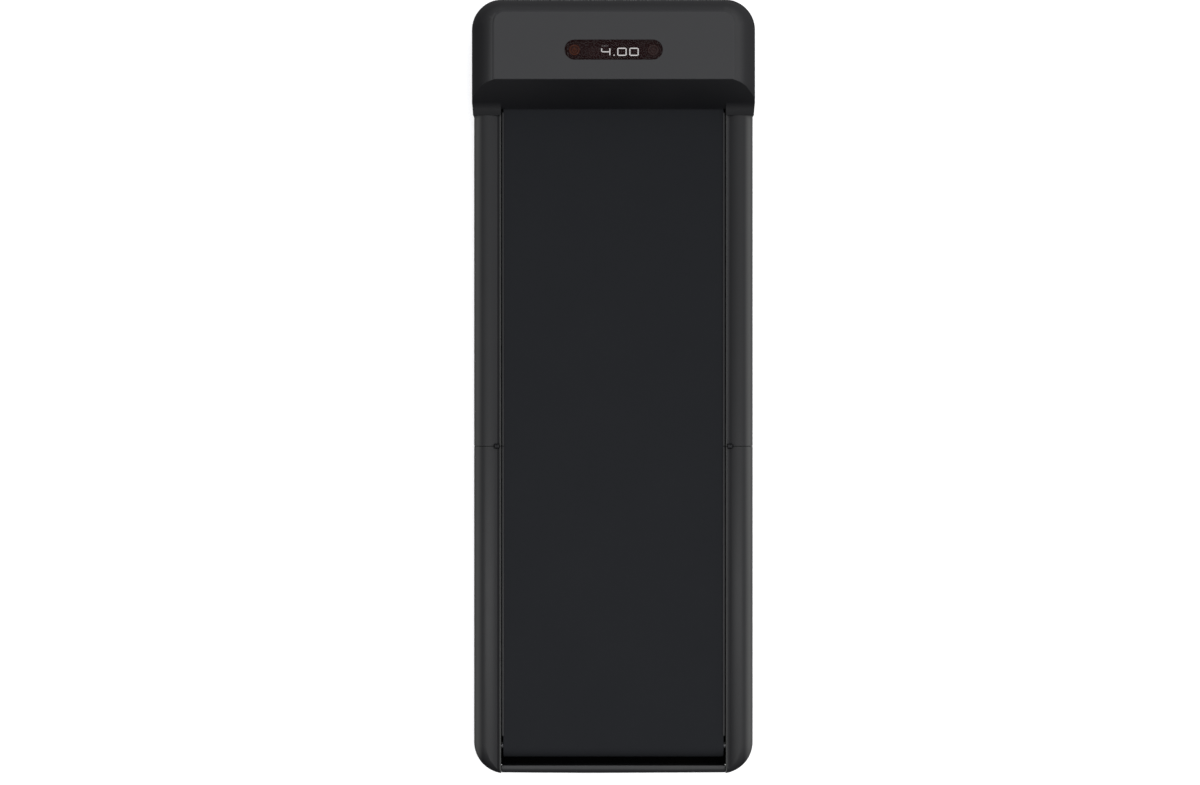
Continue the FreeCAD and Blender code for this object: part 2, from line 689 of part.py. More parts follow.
def base_tray():
    block = head_block(HEAD_T + EDGE_GAP, HEAD_H - HEAD_T, HEAD_BACK + 5)
    slab = box(-HEAD_HALF, HEAD_HALF, HEAD_BACK + 5, Y_FRONT, TRAY_Z, TRAY_TOP)
    plate = block.common(slab)
    rails = box(MEMBER_X + MEMBER_W, RAIL_OUT + 5, HEAD_BACK, HEAD_BACK + 26, 0, 50)
    windows = [rails, flip(rails)]
    for side in (-1, 1):
        x0, x1 = sorted((side * (WHEEL_X - 1.2), side * (WHEEL_X + WHEEL_W + 1.2)))
        windows.append(box(x0, x1, WHEEL_Y - WHEEL_R - 2, WHEEL_Y + WHEEL_R + 2, 0, 20))
    for i in range(9):
        x = MOTOR_X0 + 32 + 12 * i
        windows.append(box(x - 2, x + 2, MOTOR_Y + 32, MOTOR_Y + 54, 0, 20))
        x = PCB_X0 - 20 + 12 * i
        windows.append(box(x - 2, x + 2, Y_FRONT - 150, Y_FRONT - 128, 0, 20))
    plate = cut(plate, windows)
    posts = []
    for x in (PCB_X0 + 6, PCB_X1 - 6):
        for y in (Y_FRONT - 116, Y_FRONT - 36):
            posts.append(rod_z(x, y, TRAY_TOP, PCB_Z, 3.0))
    return fuse([plate] + posts)


def motor_can():
    body = rod_x(MOTOR_X0 + 12, MOTOR_X1 - 12, MOTOR_Y, MOTOR_Z, MOTOR_R)
    bells = [
        rod_x(MOTOR_X0, MOTOR_X0 + 12, MOTOR_Y, MOTOR_Z, MOTOR_R - 2.5),
        rod_x(MOTOR_X1 - 12, MOTOR_X1, MOTOR_Y, MOTOR_Z, MOTOR_R - 2.5),
    ]
    bore = rod_x(MOTOR_X0 - 1, MOTOR_X0 + 40, MOTOR_Y, MOTOR_Z, SHAFT_R + RUN_FIT)
    return cut(fuse([body] + bells), [bore])


def motor_bracket():
    block = box(MOTOR_X0 + 20, MOTOR_X1 - 20, MOTOR_Y - 32, MOTOR_Y + 32, TRAY_TOP, MOTOR_Z - 16)
    seat = rod_x(MOTOR_X0, MOTOR_X1, MOTOR_Y, MOTOR_Z, MOTOR_R)
    return cut(block, [seat])


def motor_shaft():
    x0 = -MEMBER_X + 3.0
    shaft = rod_x(x0, MOTOR_X0 + 39, MOTOR_Y, MOTOR_Z, SHAFT_R)
    wheel = rod_x(MOTOR_X0 - 16, MOTOR_X0 - 3, MOTOR_Y, MOTOR_Z, MOTOR_R - 4)
    rim = rod_x(MOTOR_X0 - 17, MOTOR_X0 - 12, MOTOR_Y, MOTOR_Z, MOTOR_R - 9)
    return fuse([shaft, cut(wheel, [rim])])


def motor_pulley():
    x1 = -ROLLER_HALF - 3.0
    x0 = x1 - DRIVE_W - 1.0
    body = rod_x(x0, x1, MOTOR_Y, MOTOR_Z, DRIVE_R)
    return cut(body, [rod_x(x0 - 1, x1 + 1, MOTOR_Y, MOTOR_Z, SHAFT_R)])


def loop(y0, z0, r0, y1, z1, r1, x0, x1):
    run = math.hypot(y1 - y0, z1 - z0)
    along = ((y1 - y0) / run, (z1 - z0) / run)
    across = (-along[1], along[0])
    lean = (r0 - r1) / run
    side = math.sqrt(1 - lean * lean)

    def at(y, z, r, a, b):
        return V(x0, y + r * (a * along[0] + b * across[0]), z + r * (a * along[1] + b * across[1]))

    p = at(y0, z0, r0, lean, side)
    q = at(y1, z1, r1, lean, side)
    s = at(y1, z1, r1, lean, -side)
    t = at(y0, z0, r0, lean, -side)
    wire = Part.Wire([
        Part.makeLine(p, q),
        Part.Arc(q, at(y1, z1, r1, 1, 0), s).toShape(),
        Part.makeLine(s, t),
        Part.Arc(t, at(y0, z0, r0, -1, 0), p).toShape(),
    ])
    return Part.Face(wire).extrude(V(x1 - x0, 0, 0))


def drive_belt():
    x1 = -ROLLER_HALF - 3.5
    x0 = x1 - DRIVE_W
    a = DRIVEN_R + MOVE_GAP
    b = DRIVE_R + MOVE_GAP
    outer = loop(ROLLER_FRONT_Y, ROLLER_Z, a + DRIVE_T, MOTOR_Y, MOTOR_Z, b + DRIVE_T, x0, x1)
    return cut(outer, [loop(ROLLER_FRONT_Y, ROLLER_Z, a, MOTOR_Y, MOTOR_Z, b, x0 - 1, x1 + 1)])


def control_board():
    return box(PCB_X0, PCB_X1, Y_FRONT - 122, Y_FRONT - 30, PCB_Z, PCB_TOP)


def heat_sink():
    x0 = PCB_X0 + 12
    block = box(x0, x0 + 68, Y_FRONT - 82, Y_FRONT - 38, PCB_TOP, PCB_TOP + 30.4)
    gaps = []
    for i in range(7):
        x = x0 + 5 + 9.0 * i
        gaps.append(box(x, x + 5.4, Y_FRONT - 83, Y_FRONT - 37, PCB_TOP + 5.4, PCB_TOP + 32))
    return cut(block, gaps)


def board_components():
    z = PCB_TOP
    solids = [rod_z(PCB_X0 + 102 + 24 * i, Y_FRONT - 100, z, z + 32, 9.0) for i in range(3)]
    # x from the board's left edge, y from the head front, sizes and height
    blocks = [(92, -82, 38, 24, 26), (20, -112, 30, 18, 16), (62, -116, 18, 20, 14), (140, -84, 20, 28, 12)]
    for x, y, width, depth, height in blocks:
        x0 = PCB_X0 + x
        y0 = Y_FRONT + y
        solids.append(box(x0, x0 + width, y0, y0 + depth, z, z + height))
    return solids


def power_inlet():
    x = INLET_X
    flange = box(x - 15.8, x + 15.8, Y_FRONT - 6, Y_FRONT - 1.4, 20.2, 45.8)
    body = box(x - 14, x + 14, Y_FRONT - 26, Y_FRONT - 6, 22, 44)
    pocket = box(x - 12, x + 12, Y_FRONT - 22, Y_FRONT + 1, 25, 41)
    return cut(fuse([flange, body]), [pocket])


def inlet_pins():
    pins = []
    for x, z in ((-7.0, 31.0), (0.0, 35.0), (7.0, 31.0)):
        x += INLET_X
        pins.append(box(x - 1, x + 1, Y_FRONT - 22, Y_FRONT - 8, z - 2, z + 2))
    return pins


def switch_frame():
    x = ROCKER_X
    flange = box(x - 11.8, x + 11.8, Y_FRONT - 6, Y_FRONT - 1.4, 24.2, 41.8)
    body = box(x - 10, x + 10, Y_FRONT - 26, Y_FRONT - 6, 26, 40)
    well = box(x - 9, x + 9, Y_FRONT - 15, Y_FRONT + 1, 27, 39)
    pivot = rod_z(x, ROCKER_Y, 25, 41, 1.0 + RUN_FIT)
    return cut(fuse([flange, body]), [well, pivot])


def switch_rocker():
    points = [(-8.0, 0.0), (-8.0, 3.6), (0.0, 2.2), (8.0, 3.6), (8.0, 0.0), (0.0, -2.4)]
    body = prism_z([(ROCKER_X + x, ROCKER_Y + y) for x, y in points], 27.4, 38.6)
    body.rotate(V(ROCKER_X, ROCKER_Y, 0), V(0, 0, 1), ROCKER_TILT)
    return fuse([body, rod_z(ROCKER_X, ROCKER_Y, 26.1, 39.9, 1.0)])


# Transport wheels

def wheel_tyre():
    x0, x1 = WHEEL_X, WHEEL_X + WHEEL_W
    tyre = rod_x(x0, x1, WHEEL_Y, WHEEL_Z, WHEEL_R)
    tyre = tyre.makeFillet(2.5, [e for e in tyre.Edges if e.BoundBox.XLength < 0.01])
    return cut(tyre, [rod_x(x0 - 1, x1 + 1, WHEEL_Y, WHEEL_Z, WHEEL_R - 5)])


def wheel_rim():
    x0, x1 = WHEEL_X, WHEEL_X + WHEEL_W
    rim = rod_x(x0 + 1, x1 - 1, WHEEL_Y, WHEEL_Z, WHEEL_R - 5)
    hub = rod_x(x0, x1, WHEEL_Y, WHEEL_Z, 7.0)
    return cut(fuse([rim, hub]), [rod_x(x0 - 1, x1 + 1, WHEEL_Y, WHEEL_Z, 4.0 + RUN_FIT)])


def wheel_bracket():
    x0, x1 = WHEEL_X, WHEEL_X + WHEEL_W
    cheeks = []
    for a, b in ((x0 - 3.7, x0 - 1.2), (x1 + 1.2, x1 + 3.7)):
        cheek = box(a, b, WHEEL_Y - 10, WHEEL_Y + 10, TRAY_TOP, WHEEL_Z + 9)
        cheeks.append(cheek)
    bridge = box(x0 - 3.7, x1 + 3.7, WHEEL_Y - 10, WHEEL_Y + 10, WHEEL_Z + WHEEL_R + 3, WHEEL_Z + WHEEL_R + 5.5)
    sides = [
        box(x0 - 3.7, x0 - 1.2, WHEEL_Y - 10, WHEEL_Y + 10, WHEEL_Z + 8, WHEEL_Z + WHEEL_R + 4),
        box(x1 + 1.2, x1 + 3.7, WHEEL_Y - 10, WHEEL_Y + 10, WHEEL_Z + 8, WHEEL_Z + WHEEL_R + 4),
    ]
    inner_foot = box(x0 - 15, x0 - 1.2, WHEEL_Y - 10, WHEEL_Y + 10, TRAY_TOP, TRAY_TOP + 2.5)
    outer_foot = box(x1 + 1.2, x1 + 13, WHEEL_Y - 10, WHEEL_Y + 10, TRAY_TOP, TRAY_TOP + 2.5)
    hole = rod_x(x0 - 5, x1 + 5, WHEEL_Y, WHEEL_Z, 4.0)
    return cut(fuse(cheeks + [bridge] + sides + [inner_foot, outer_foot]), [hole])


def wheel_axle():
    return rod_x(WHEEL_X - 5.5, WHEEL_X + WHEEL_W + 5.5, WHEEL_Y, WHEEL_Z, 4.0)


# Rear end

def rear_bumper():
    half = RAIL_IN - 1.0
    low = RAIL_BASE + 3.0
    bowed = Y_REAR + BUMPER_BOW
    inside = Y_REAR + BUMPER_D
    back = Part.Arc(V(-half, bowed, low), V(0, Y_REAR, low), V(half, bowed, low)).toShape()
    lines = [
        Part.makeLine(V(half, bowed, low), V(half, inside, low)),
        Part.makeLine(V(half, inside, low), V(-half, inside, low)),
        Part.makeLine(V(-half, inside, low), V(-half, bowed, low)),
    ]
    bar = Part.Face(Part.Wire([back] + lines)).extrude(V(0, 0, BUMPER_TOP - low))
    at_top = [e for e in bar.Edges if abs(e.BoundBox.ZMin - BUMPER_TOP) < 0.01]
    rounded = [e for e in at_top if e.BoundBox.YMin < Y_REAR + 3 and e.BoundBox.XLength > half]
    bar = bar.makeFillet(BUMPER_ROUND, rounded)
    hollow = box(-half - 1, half + 1, Y_REAR + 6.0, Y_REAR + 11.0, low - 1, RAIL_BASE + 17)
    return fuse([cut(bar, [hollow]), bumper_skirt()])


def bumper_skirt():
    half = BOLT_X + 1.0
    low = TRAY_TOP - 2.0
    return box(-half, half, Y_REAR + 12.0, Y_REAR + SKIRT_LONG, low, low + SKIRT_T)


def rear_bar():
    end = MEMBER_X - 8.0
    bar = box(-end, end, Y_REAR + 6.0, Y_REAR + 11.0, RAIL_BASE + 6, RAIL_BASE + 17)
    lug = box(BOLT_X - 5, end, Y_REAR + 11.0, BRACKET_Y, RAIL_BASE + 6, RAIL_BASE + 17)
    return fuse([bar, lug, flip(lug)])


def front_parts():
    rail = front_rail()
    save_pair("front_rail", rail)
    strip = guide(SEAM_FRONT, Y_FRONT - GUIDE_FRONT)
    save("front_guides", strip, flip(strip))
    save_pair("front_side_member", side_member(SEAM_FRONT, Y_FRONT - 52.0))
    tubes = spread(FOLD_Y + 72.0, HEAD_BACK - 12.0, 4)
    save("front_cross_tubes", *[cross_tube(y) for y in tubes])
    front = ROLLER_FRONT_Y - BELT_IN_R - 8.0
    save("front_board", box(-BOARD_W / 2, BOARD_W / 2, FOLD_Y + BOARD_BACK, front, BOARD_Z, BOARD_TOP))
    pads = []
    for y in tubes:
        pads += cushions(y)
    save("front_cushions", *pads)
    save("belt_front", belt(SEAM_FRONT, ROLLER_FRONT_Y))
    save("front_axle", front_axle())
    save("front_hinge_leaves", hinge_leaf(1), flip(hinge_leaf(1)))
    save("hinge_pins", hinge_pin(), flip(hinge_pin()))
    feet = [foot(FOLD_Y + 50.0, MEMBER_Z), foot(Y_FRONT - 85.0, TRAY_Z)]
    save("front_feet", *(feet + [flip(f) for f in feet]))


def rear_parts():
    save_pair("rear_rail", rear_rail())
    strip = guide(Y_REAR + GUIDE_END, SEAM_REAR)
    save("rear_guides", strip, flip(strip))
    save_pair("rear_side_member", side_member(BRACKET_Y, SEAM_REAR))
    tubes = spread(FOLD_Y - 72.0, ROLLER_REAR_Y + 54.0, 4)
    save("rear_cross_tubes", *[cross_tube(y) for y in tubes])
    back = ROLLER_REAR_Y + BELT_IN_R + TENSION + 4.0
    save("rear_board", box(-BOARD_W / 2, BOARD_W / 2, back, FOLD_Y - BOARD_BACK, BOARD_Z, BOARD_TOP))
    pads = []
    for y in tubes:
        pads += cushions(y)
    save("rear_cushions", *pads)
    save("belt_rear", belt(SEAM_REAR, ROLLER_REAR_Y))
    save("rear_hinge_leaves", hinge_leaf(-1), flip(hinge_leaf(-1)))
    feet = [foot(FOLD_Y - 50.0, MEMBER_Z), foot(Y_REAR + 70.0, MEMBER_Z)]
    save("rear_feet", *(feet + [flip(f) for f in feet]))
    save("axle_brackets", axle_bracket(), flip(axle_bracket()))
    save("rear_bumper", rear_bumper())
    save("rear_bar", rear_bar())


def head_parts():
    save("head_cover", head_cover())
    save("top_panel", top_panel())
    save("display_lens", lens())
    save("display_board", display_board())
    save("display_digits", *lit_digits())
    save("display_segments_off", *unlit_segments())
    save("touch_icons", *touch_icons())
    save("base_tray", base_tray())
    save("motor_can", motor_can())
    save("motor_bracket", motor_bracket())
    save("drive_belt", drive_belt())
    save("control_board", control_board())
    save("heat_sink", heat_sink())
    save("board_components", *board_components())
    save("power_inlet", power_inlet())
    save("inlet_pins", *inlet_pins())
    save("switch_frame", switch_frame())
    bracket = wheel_bracket()
    save("wheel_brackets", bracket, flip(bracket), wheel_axle(), flip(wheel_axle()))


def moving_parts():
    save("front_roller", roller(ROLLER_FRONT_Y))
    save("front_bearings", *bearings(ROLLER_FRONT_Y))
    save("driven_pulley", driven_pulley())
    save("motor_shaft", motor_shaft())
    save("motor_pulley", motor_pulley())
    save("rear_axle", rear_axle())
    save("rear_roller", roller(ROLLER_REAR_Y))
    save("rear_bearings", *bearings(ROLLER_REAR_Y))
    save_pair("tension_bolt", tension_bolt())
    save_pair("wheel_tyre", wheel_tyre())
    save_pair("wheel_rim", wheel_rim())
    save("switch_rocker", switch_rocker())


os.makedirs("parts", exist_ok=True)
front_parts()
rear_parts()
head_parts()
moving_parts()
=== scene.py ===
import json
import math

import bmesh
import bpy
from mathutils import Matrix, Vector


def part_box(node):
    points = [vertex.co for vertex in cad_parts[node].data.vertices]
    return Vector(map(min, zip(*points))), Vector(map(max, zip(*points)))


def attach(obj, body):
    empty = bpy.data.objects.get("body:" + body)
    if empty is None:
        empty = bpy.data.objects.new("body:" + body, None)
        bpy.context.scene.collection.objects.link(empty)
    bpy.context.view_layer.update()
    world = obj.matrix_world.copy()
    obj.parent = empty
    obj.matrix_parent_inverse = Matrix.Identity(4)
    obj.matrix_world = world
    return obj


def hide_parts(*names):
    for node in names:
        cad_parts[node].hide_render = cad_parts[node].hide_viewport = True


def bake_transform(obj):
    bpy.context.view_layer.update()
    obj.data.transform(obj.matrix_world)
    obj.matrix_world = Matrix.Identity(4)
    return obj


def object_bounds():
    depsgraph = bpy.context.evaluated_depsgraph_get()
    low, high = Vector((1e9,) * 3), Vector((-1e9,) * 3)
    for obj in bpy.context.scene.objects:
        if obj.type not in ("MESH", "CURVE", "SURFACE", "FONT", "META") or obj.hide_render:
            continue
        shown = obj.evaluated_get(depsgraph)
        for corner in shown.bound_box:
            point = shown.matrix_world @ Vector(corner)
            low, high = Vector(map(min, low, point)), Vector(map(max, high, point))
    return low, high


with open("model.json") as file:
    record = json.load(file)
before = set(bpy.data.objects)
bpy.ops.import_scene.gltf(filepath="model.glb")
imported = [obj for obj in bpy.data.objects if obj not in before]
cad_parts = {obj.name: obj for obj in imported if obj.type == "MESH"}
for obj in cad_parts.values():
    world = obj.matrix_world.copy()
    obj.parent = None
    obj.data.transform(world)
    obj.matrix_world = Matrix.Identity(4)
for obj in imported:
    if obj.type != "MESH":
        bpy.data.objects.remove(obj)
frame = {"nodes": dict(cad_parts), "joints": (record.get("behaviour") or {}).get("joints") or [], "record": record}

MM = 0.001

# Read from the frame
NODES = frame["nodes"]
CAD_BOX = [list(corner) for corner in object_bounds()]
NODE_LOOK = {part["node"]: part["material_slot"] for part in frame["record"]["subparts"]}
BODIES = frame["record"]["behaviour"]["bodies"]
SEAM_Y = next(joint for joint in frame["joints"] if joint["name"] == "deck_fold")["pos_m"][1]

# Directions that screws face
DOWN = (0.0, 0.0, -1.0)
FORWARD = (0.0, 1.0, 0.0)

# Where a finish changes, in metres
HIGHLIGHT_FROM, HIGHLIGHT_TO = 0.2425, 0.2555      # across: painted highlight on the rails' outer shoulder
LIP_IN, LIP_OUT = 0.2085, 0.2114           # across: painted highlight on the rails' inner lip
SLOPE_FROM, SLOPE_TO = 0.500, 0.572        # along: just behind the head's slope to just past its top edge
SHADED_SLOPE_SHEEN, COVER_SHEEN = 0.14, 0.52      # the cover's sheen at those two places; the lower one is painted shade near the belt
SKIRT_TOP = 0.013                          # height: top of the bumper's skirt, painted near-black as shade

# Colours, linear
BLACK = (0.0055, 0.0056, 0.0066)
BLACK_WORN = (0.0072, 0.0073, 0.0084)
# Painted highlight colours for the rails' outer shoulder and inner lip
RAIL_HIGHLIGHT = (0.078, 0.079, 0.076)
RAIL_HIGHLIGHT_MOTTLED = (0.088, 0.089, 0.086)
BELT_DARK = (0.0165, 0.0175, 0.0197)
BELT_LIGHT = (0.0180, 0.0190, 0.0212)
BELT_CREST = (0.0205, 0.0215, 0.0238)
HOUSE_DUST = (0.32, 0.31, 0.29)

# Belt, in metres
BELT_DIAMONDS = 0.0034                     # width of two raised diamonds

# Feet, in millimetres: place along the machine and height of the top
FOOT_R = 14.0
FRONT_FEET = [(-59.0, 12.0), (635.0, 9.0)]
REAR_FEET = [(-159.0, 12.0), (-650.0, 12.0)]

# Seam flap, in millimetres
FLAP_X = (204.0, 259.3)                    # out from the middle: belt's edge to rails' outside
FLAP_Y = (-116.0, -102.0)                  # along: 7 past the seam, each way
FLAP_Z = (6.6, 8.2)                        # height: just under the rails

# Screws, in millimetres
TRAY_SIDE_IN = 14.0                        # tray's side screws, in from the edge
TRAY_SIDE = (60.0, 120.0)                  # and ahead of its rear edge
TRAY_END_IN = 16.0                         # tray's rear and front screws, in from the end
TRAY_REAR = (0.0, 118.0)                   # rear screws, out from the middle
TRAY_FRONT = (60.0, 150.0)                 # front screws, out from the middle
TRAY_INNER = (196.0, 130.0)                # one out from the middle and ahead of the rear edge
RAIL_FIRST = 100.0                         # rails' first screw, from the member's rear end
RAIL_STEP = 95.0
RAIL_CLEAR = 12.0                          # rails' last screw, at least this far behind the tray
# Skirt's screws, out from the middle and ahead of the bumper's rear
SKIRT_SCREWS = [(0.0, 30.0), (90.0, 30.0), (180.0, 30.0), (0.0, 66.0), (180.0, 66.0)]
INLET_IN = 1.9                             # inlet's screws, in from its ends

# Soft boxes: place, size and power
OVERHEAD = (0.25, -0.95, 3.4), (2.2, 2.2), 5.0
STRIP = (0.0, -0.52, 1.3), (1.1, 0.36), 2.3
RIGHT_FILL = (3.2, 0.4, 2.0), (1.6, 2.4), 5.0

# Sky brightness and colour by height, from straight down (-1) to straight up (1)
SKY_POWER = 2.0
SKY_RIGHT = 0.44
SKY_FRONT = 0.40
SKY_LEAST = 0.25                           # dimmest the left and rear may be
SKY = [
    (-1.0, (0.055, 0.055, 0.057)),
    (-0.5, (0.080, 0.080, 0.082)),
    (-0.1, (0.135, 0.135, 0.14)),
    (0.1, (0.20, 0.20, 0.21)),
    (0.3, (0.29, 0.29, 0.30)),
    (0.6, (0.36, 0.36, 0.37)),
    (0.85, (0.47, 0.475, 0.485)),
    (1.0, (0.60, 0.605, 0.615)),
]
FLOOR_HALF = 9.0
FLOOR_GLOW = 0.55
CAMERA_PLACE = (-0.025, -0.009, 4.5)
CAMERA_LENS = 71.6


def span(node):
    """Low and high corners of a node's box."""
    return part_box(node)


def body_of_node(node):
    """The body that the node belongs to."""
    return next(body for body, members in BODIES.items() if node in members)


# Shader helpers

def add(tree, kind, **values):
    """A new node in a shader or shape tree, with its settings."""
    node = tree.nodes.new(kind)
    for key, value in values.items():
        setattr(node, key, value)
    return node


def wire(tree, out, into):
    """A link from an output socket to an input socket."""
    tree.links.new(out, into)


def math_node(tree, operation, a, b=None, clamp=False):
    """Output of a maths node. a and b are numbers or sockets."""
    node = add(tree, "ShaderNodeMath", operation=operation, use_clamp=clamp)
    for i, value in enumerate((a, b)):
        if value is None:
            continue
        if isinstance(value, (int, float)):
            node.inputs[i].default_value = value
        else:
            wire(tree, value, node.inputs[i])
    return node.outputs[0]


def new_group(name, inputs, outputs):
    """A shader group with its named sockets, and its two end nodes."""
    group = bpy.data.node_groups.new(name, "ShaderNodeTree")
    for label, kind, value in inputs:
        socket = group.interface.new_socket(label, in_out="INPUT", socket_type=kind)
        if value is not None:
            socket.default_value = value
    for label, kind in outputs:
        group.interface.new_socket(label, in_out="OUTPUT", socket_type=kind)
    return group, group.nodes.new("NodeGroupInput"), group.nodes.new("NodeGroupOutput")


def grain_group():
    """Spark-eroded mould texture: a fine pebble height and a slow mottling."""
    group, ins, outs = new_group(
        "mould_grain",
        [("Vector", "NodeSocketVector", None), ("Scale", "NodeSocketFloat", 900.0)],
        [("Height", "NodeSocketFloat"), ("Mottle", "NodeSocketFloat")],
    )
    pebble = add(group, "ShaderNodeTexVoronoi", feature="SMOOTH_F1")
    pebble.inputs["Smoothness"].default_value = 0.6
    wire(group, ins.outputs["Vector"], pebble.inputs["Vector"])
    wire(group, ins.outputs["Scale"], pebble.inputs["Scale"])
    fine = add(group, "ShaderNodeTexNoise")
    fine.inputs["Detail"].default_value = 4.0
    wire(group, ins.outputs["Vector"], fine.inputs["Vector"])
    wire(group, math_node(group, "MULTIPLY", ins.outputs["Scale"], 0.6), fine.inputs["Scale"])
    coarse = math_node(group, "MULTIPLY", pebble.outputs["Distance"], 0.6)
    wire(group, math_node(group, "ADD", coarse, fine.outputs["Fac"]), outs.inputs["Height"])
    slow = add(group, "ShaderNodeTexNoise")
    slow.inputs["Scale"].default_value = 5.0
    slow.inputs["Detail"].default_value = 6.0
    slow.inputs["Roughness"].default_value = 0.62
    wire(group, ins.outputs["Vector"], slow.inputs["Vector"])
    wire(group, slow.outputs["Fac"], outs.inputs["Mottle"])
    return group


def dust_group():
    """Fine dust that settles on faces turned up, thicker in patches."""
    group, ins, outs = new_group(
        "settled_dust",
        [("Vector", "NodeSocketVector", None), ("Amount", "NodeSocketFloat", 0.2)],
        [("Mask", "NodeSocketFloat")],
    )
    facing = add(group, "ShaderNodeSeparateXYZ")
    wire(group, add(group, "ShaderNodeTexCoord").outputs["Normal"], facing.inputs[0])
    up = math_node(group, "POWER", math_node(group, "MAXIMUM", facing.outputs["Z"], 0.0), 3.0)
    patch = add(group, "ShaderNodeTexNoise")
    patch.inputs["Scale"].default_value = 14.0
    patch.inputs["Detail"].default_value = 8.0
    patch.inputs["Roughness"].default_value = 0.7
    wire(group, ins.outputs["Vector"], patch.inputs["Vector"])
    speck = add(group, "ShaderNodeTexNoise")
    speck.inputs["Scale"].default_value = 1600.0
    wire(group, ins.outputs["Vector"], speck.inputs["Vector"])
    patchy = math_node(group, "MULTIPLY", patch.outputs["Fac"], speck.outputs["Fac"])
    mask = math_node(group, "MULTIPLY", up, patchy)
    mask = math_node(group, "MULTIPLY", mask, ins.outputs["Amount"], clamp=True)
    wire(group, mask, outs.inputs["Mask"])
    return group


def scratch_group():
    """Short hairline rubs, running mostly one way."""
    group, ins, outs = new_group(
        "hairlines",
        [("Vector", "NodeSocketVector", None), ("Along", "NodeSocketVector", (1.0, 1.0, 1.0))],
        [("Mask", "NodeSocketFloat")],
    )
    stretch = add(group, "ShaderNodeVectorMath", operation="MULTIPLY")
    wire(group, ins.outputs["Vector"], stretch.inputs[0])
    wire(group, ins.outputs["Along"], stretch.inputs[1])
    line = add(group, "ShaderNodeTexNoise")
    line.inputs["Scale"].default_value = 1.0
    line.inputs["Detail"].default_value = 3.0
    wire(group, stretch.outputs[0], line.inputs["Vector"])
    over = math_node(group, "SUBTRACT", line.outputs["Fac"], 0.56)
    mask = math_node(group, "MULTIPLY", over, 6.0, clamp=True)
    wire(group, mask, outs.inputs["Mask"])
    return group


GRAIN = grain_group()
DUST = dust_group()
SCRATCH = scratch_group()


def use_group(tree, group, vector, **values):
    """One of the groups above at the given place, with its values set."""
    node = add(tree, "ShaderNodeGroup", node_tree=group)
    wire(tree, vector, node.inputs["Vector"])
    for key, value in values.items():
        node.inputs[key].default_value = value
    return node


def start_material(name):
    """A new material with its tree, its shader and its coordinates."""
    material = bpy.data.materials.new(name)
    material.use_nodes = True
    tree = material.node_tree
    return material, tree, tree.nodes["Principled BSDF"], add(tree, "ShaderNodeTexCoord")


def blend_colour(tree, factor, a, b):
    """A colour between a and b, which are colours or sockets."""
    node = add(tree, "ShaderNodeMix", data_type="RGBA")
    wire(tree, factor, node.inputs["Factor"])
    for socket, value in ((node.inputs[6], a), (node.inputs[7], b)):
        if isinstance(value, tuple):
            socket.default_value = value + (1.0,)
        else:
            wire(tree, value, socket)
    return node.outputs[2]


def ranged(tree, value, low, high, source=(0.3, 0.7)):
    """The value moved from the source range to low and high."""
    node = add(tree, "ShaderNodeMapRange")
    node.inputs["From Min"].default_value = source[0]
    node.inputs["From Max"].default_value = source[1]
    node.inputs["To Min"].default_value = low
    node.inputs["To Max"].default_value = high
    wire(tree, value, node.inputs["Value"])
    return node.outputs["Result"]


def smooth_step(tree, value, start, stop, low=0.0, high=1.0):
    """The value eased from low at start to high at stop."""
    node = add(tree, "ShaderNodeMapRange", interpolation_type="SMOOTHSTEP")
    for label, number in (("From Min", start), ("From Max", stop), ("To Min", low), ("To Max", high)):
        node.inputs[label].default_value = number
    wire(tree, value, node.inputs["Value"])
    return node.outputs["Result"]


def noise(tree, place, scale, detail=2.0):
    """Output of a noise texture at a place."""
    node = add(tree, "ShaderNodeTexNoise")
    node.inputs["Scale"].default_value = scale
    node.inputs["Detail"].default_value = detail
    wire(tree, place, node.inputs["Vector"])
    return node.outputs["Fac"]


def bump(tree, shader, height, distance, strength=1.0):
    """Relief on the shader from a height socket."""
    node = add(tree, "ShaderNodeBump")
    node.inputs["Distance"].default_value = distance
    node.inputs["Strength"].default_value = strength
    wire(tree, height, node.inputs["Height"])
    wire(tree, node.outputs["Normal"], shader.inputs["Normal"])


# Finishes

def moulded(name, dark, light, rough, grain=900.0, depth=0.00004, dust=0.0, specular=0.5, metallic=0.0,
            coat=0.0):
    """Moulded plastic, rubber or powder coat: mottled colour, pebbled height, a little dust."""
    material, tree, shader, coords = start_material(name)
    place = coords.outputs["Object"]
    grained = use_group(tree, GRAIN, place, Scale=grain)
    colour = blend_colour(tree, ranged(tree, grained.outputs["Mottle"], 0.0, 1.0), dark, light)
    roughness = ranged(tree, grained.outputs["Mottle"], rough[0], rough[1])
    if dust:
        settled = use_group(tree, DUST, place, Amount=dust)
        colour = blend_colour(tree, settled.outputs["Mask"], colour, HOUSE_DUST)
    wire(tree, colour, shader.inputs["Base Color"])
    wire(tree, roughness, shader.inputs["Roughness"])
    shader.inputs["Specular IOR Level"].default_value = specular
    shader.inputs["Metallic"].default_value = metallic
    shader.inputs["Coat Weight"].default_value = coat
    bump(tree, shader, grained.outputs["Height"], depth)
    return material


def cover_finish():
    """Satin moulding whose sheen fades down the head's slope, as painted shade towards the belt. The rear bumper
    has it in full.
    """
    material = moulded("cover_satin", BLACK, BLACK_WORN, (0.38, 0.44), 1100, 0.00003, dust=0.02)
    tree = material.node_tree
    split = add(tree, "ShaderNodeSeparateXYZ")
    wire(tree, add(tree, "ShaderNodeTexCoord").outputs["Object"], split.inputs[0])
    # Painted shade: less sheen towards the slope's low end by the belt
    head = smooth_step(tree, split.outputs["Y"], SLOPE_FROM, SLOPE_TO, SHADED_SLOPE_SHEEN, COVER_SHEEN)
    behind = math_node(tree, "LESS_THAN", split.outputs["Y"], 0.0)
    bumper = math_node(tree, "MULTIPLY", behind, COVER_SHEEN)
    sheen = tree.nodes["Principled BSDF"].inputs["Specular IOR Level"]
    wire(tree, math_node(tree, "MAXIMUM", head, bumper), sheen)
    return material


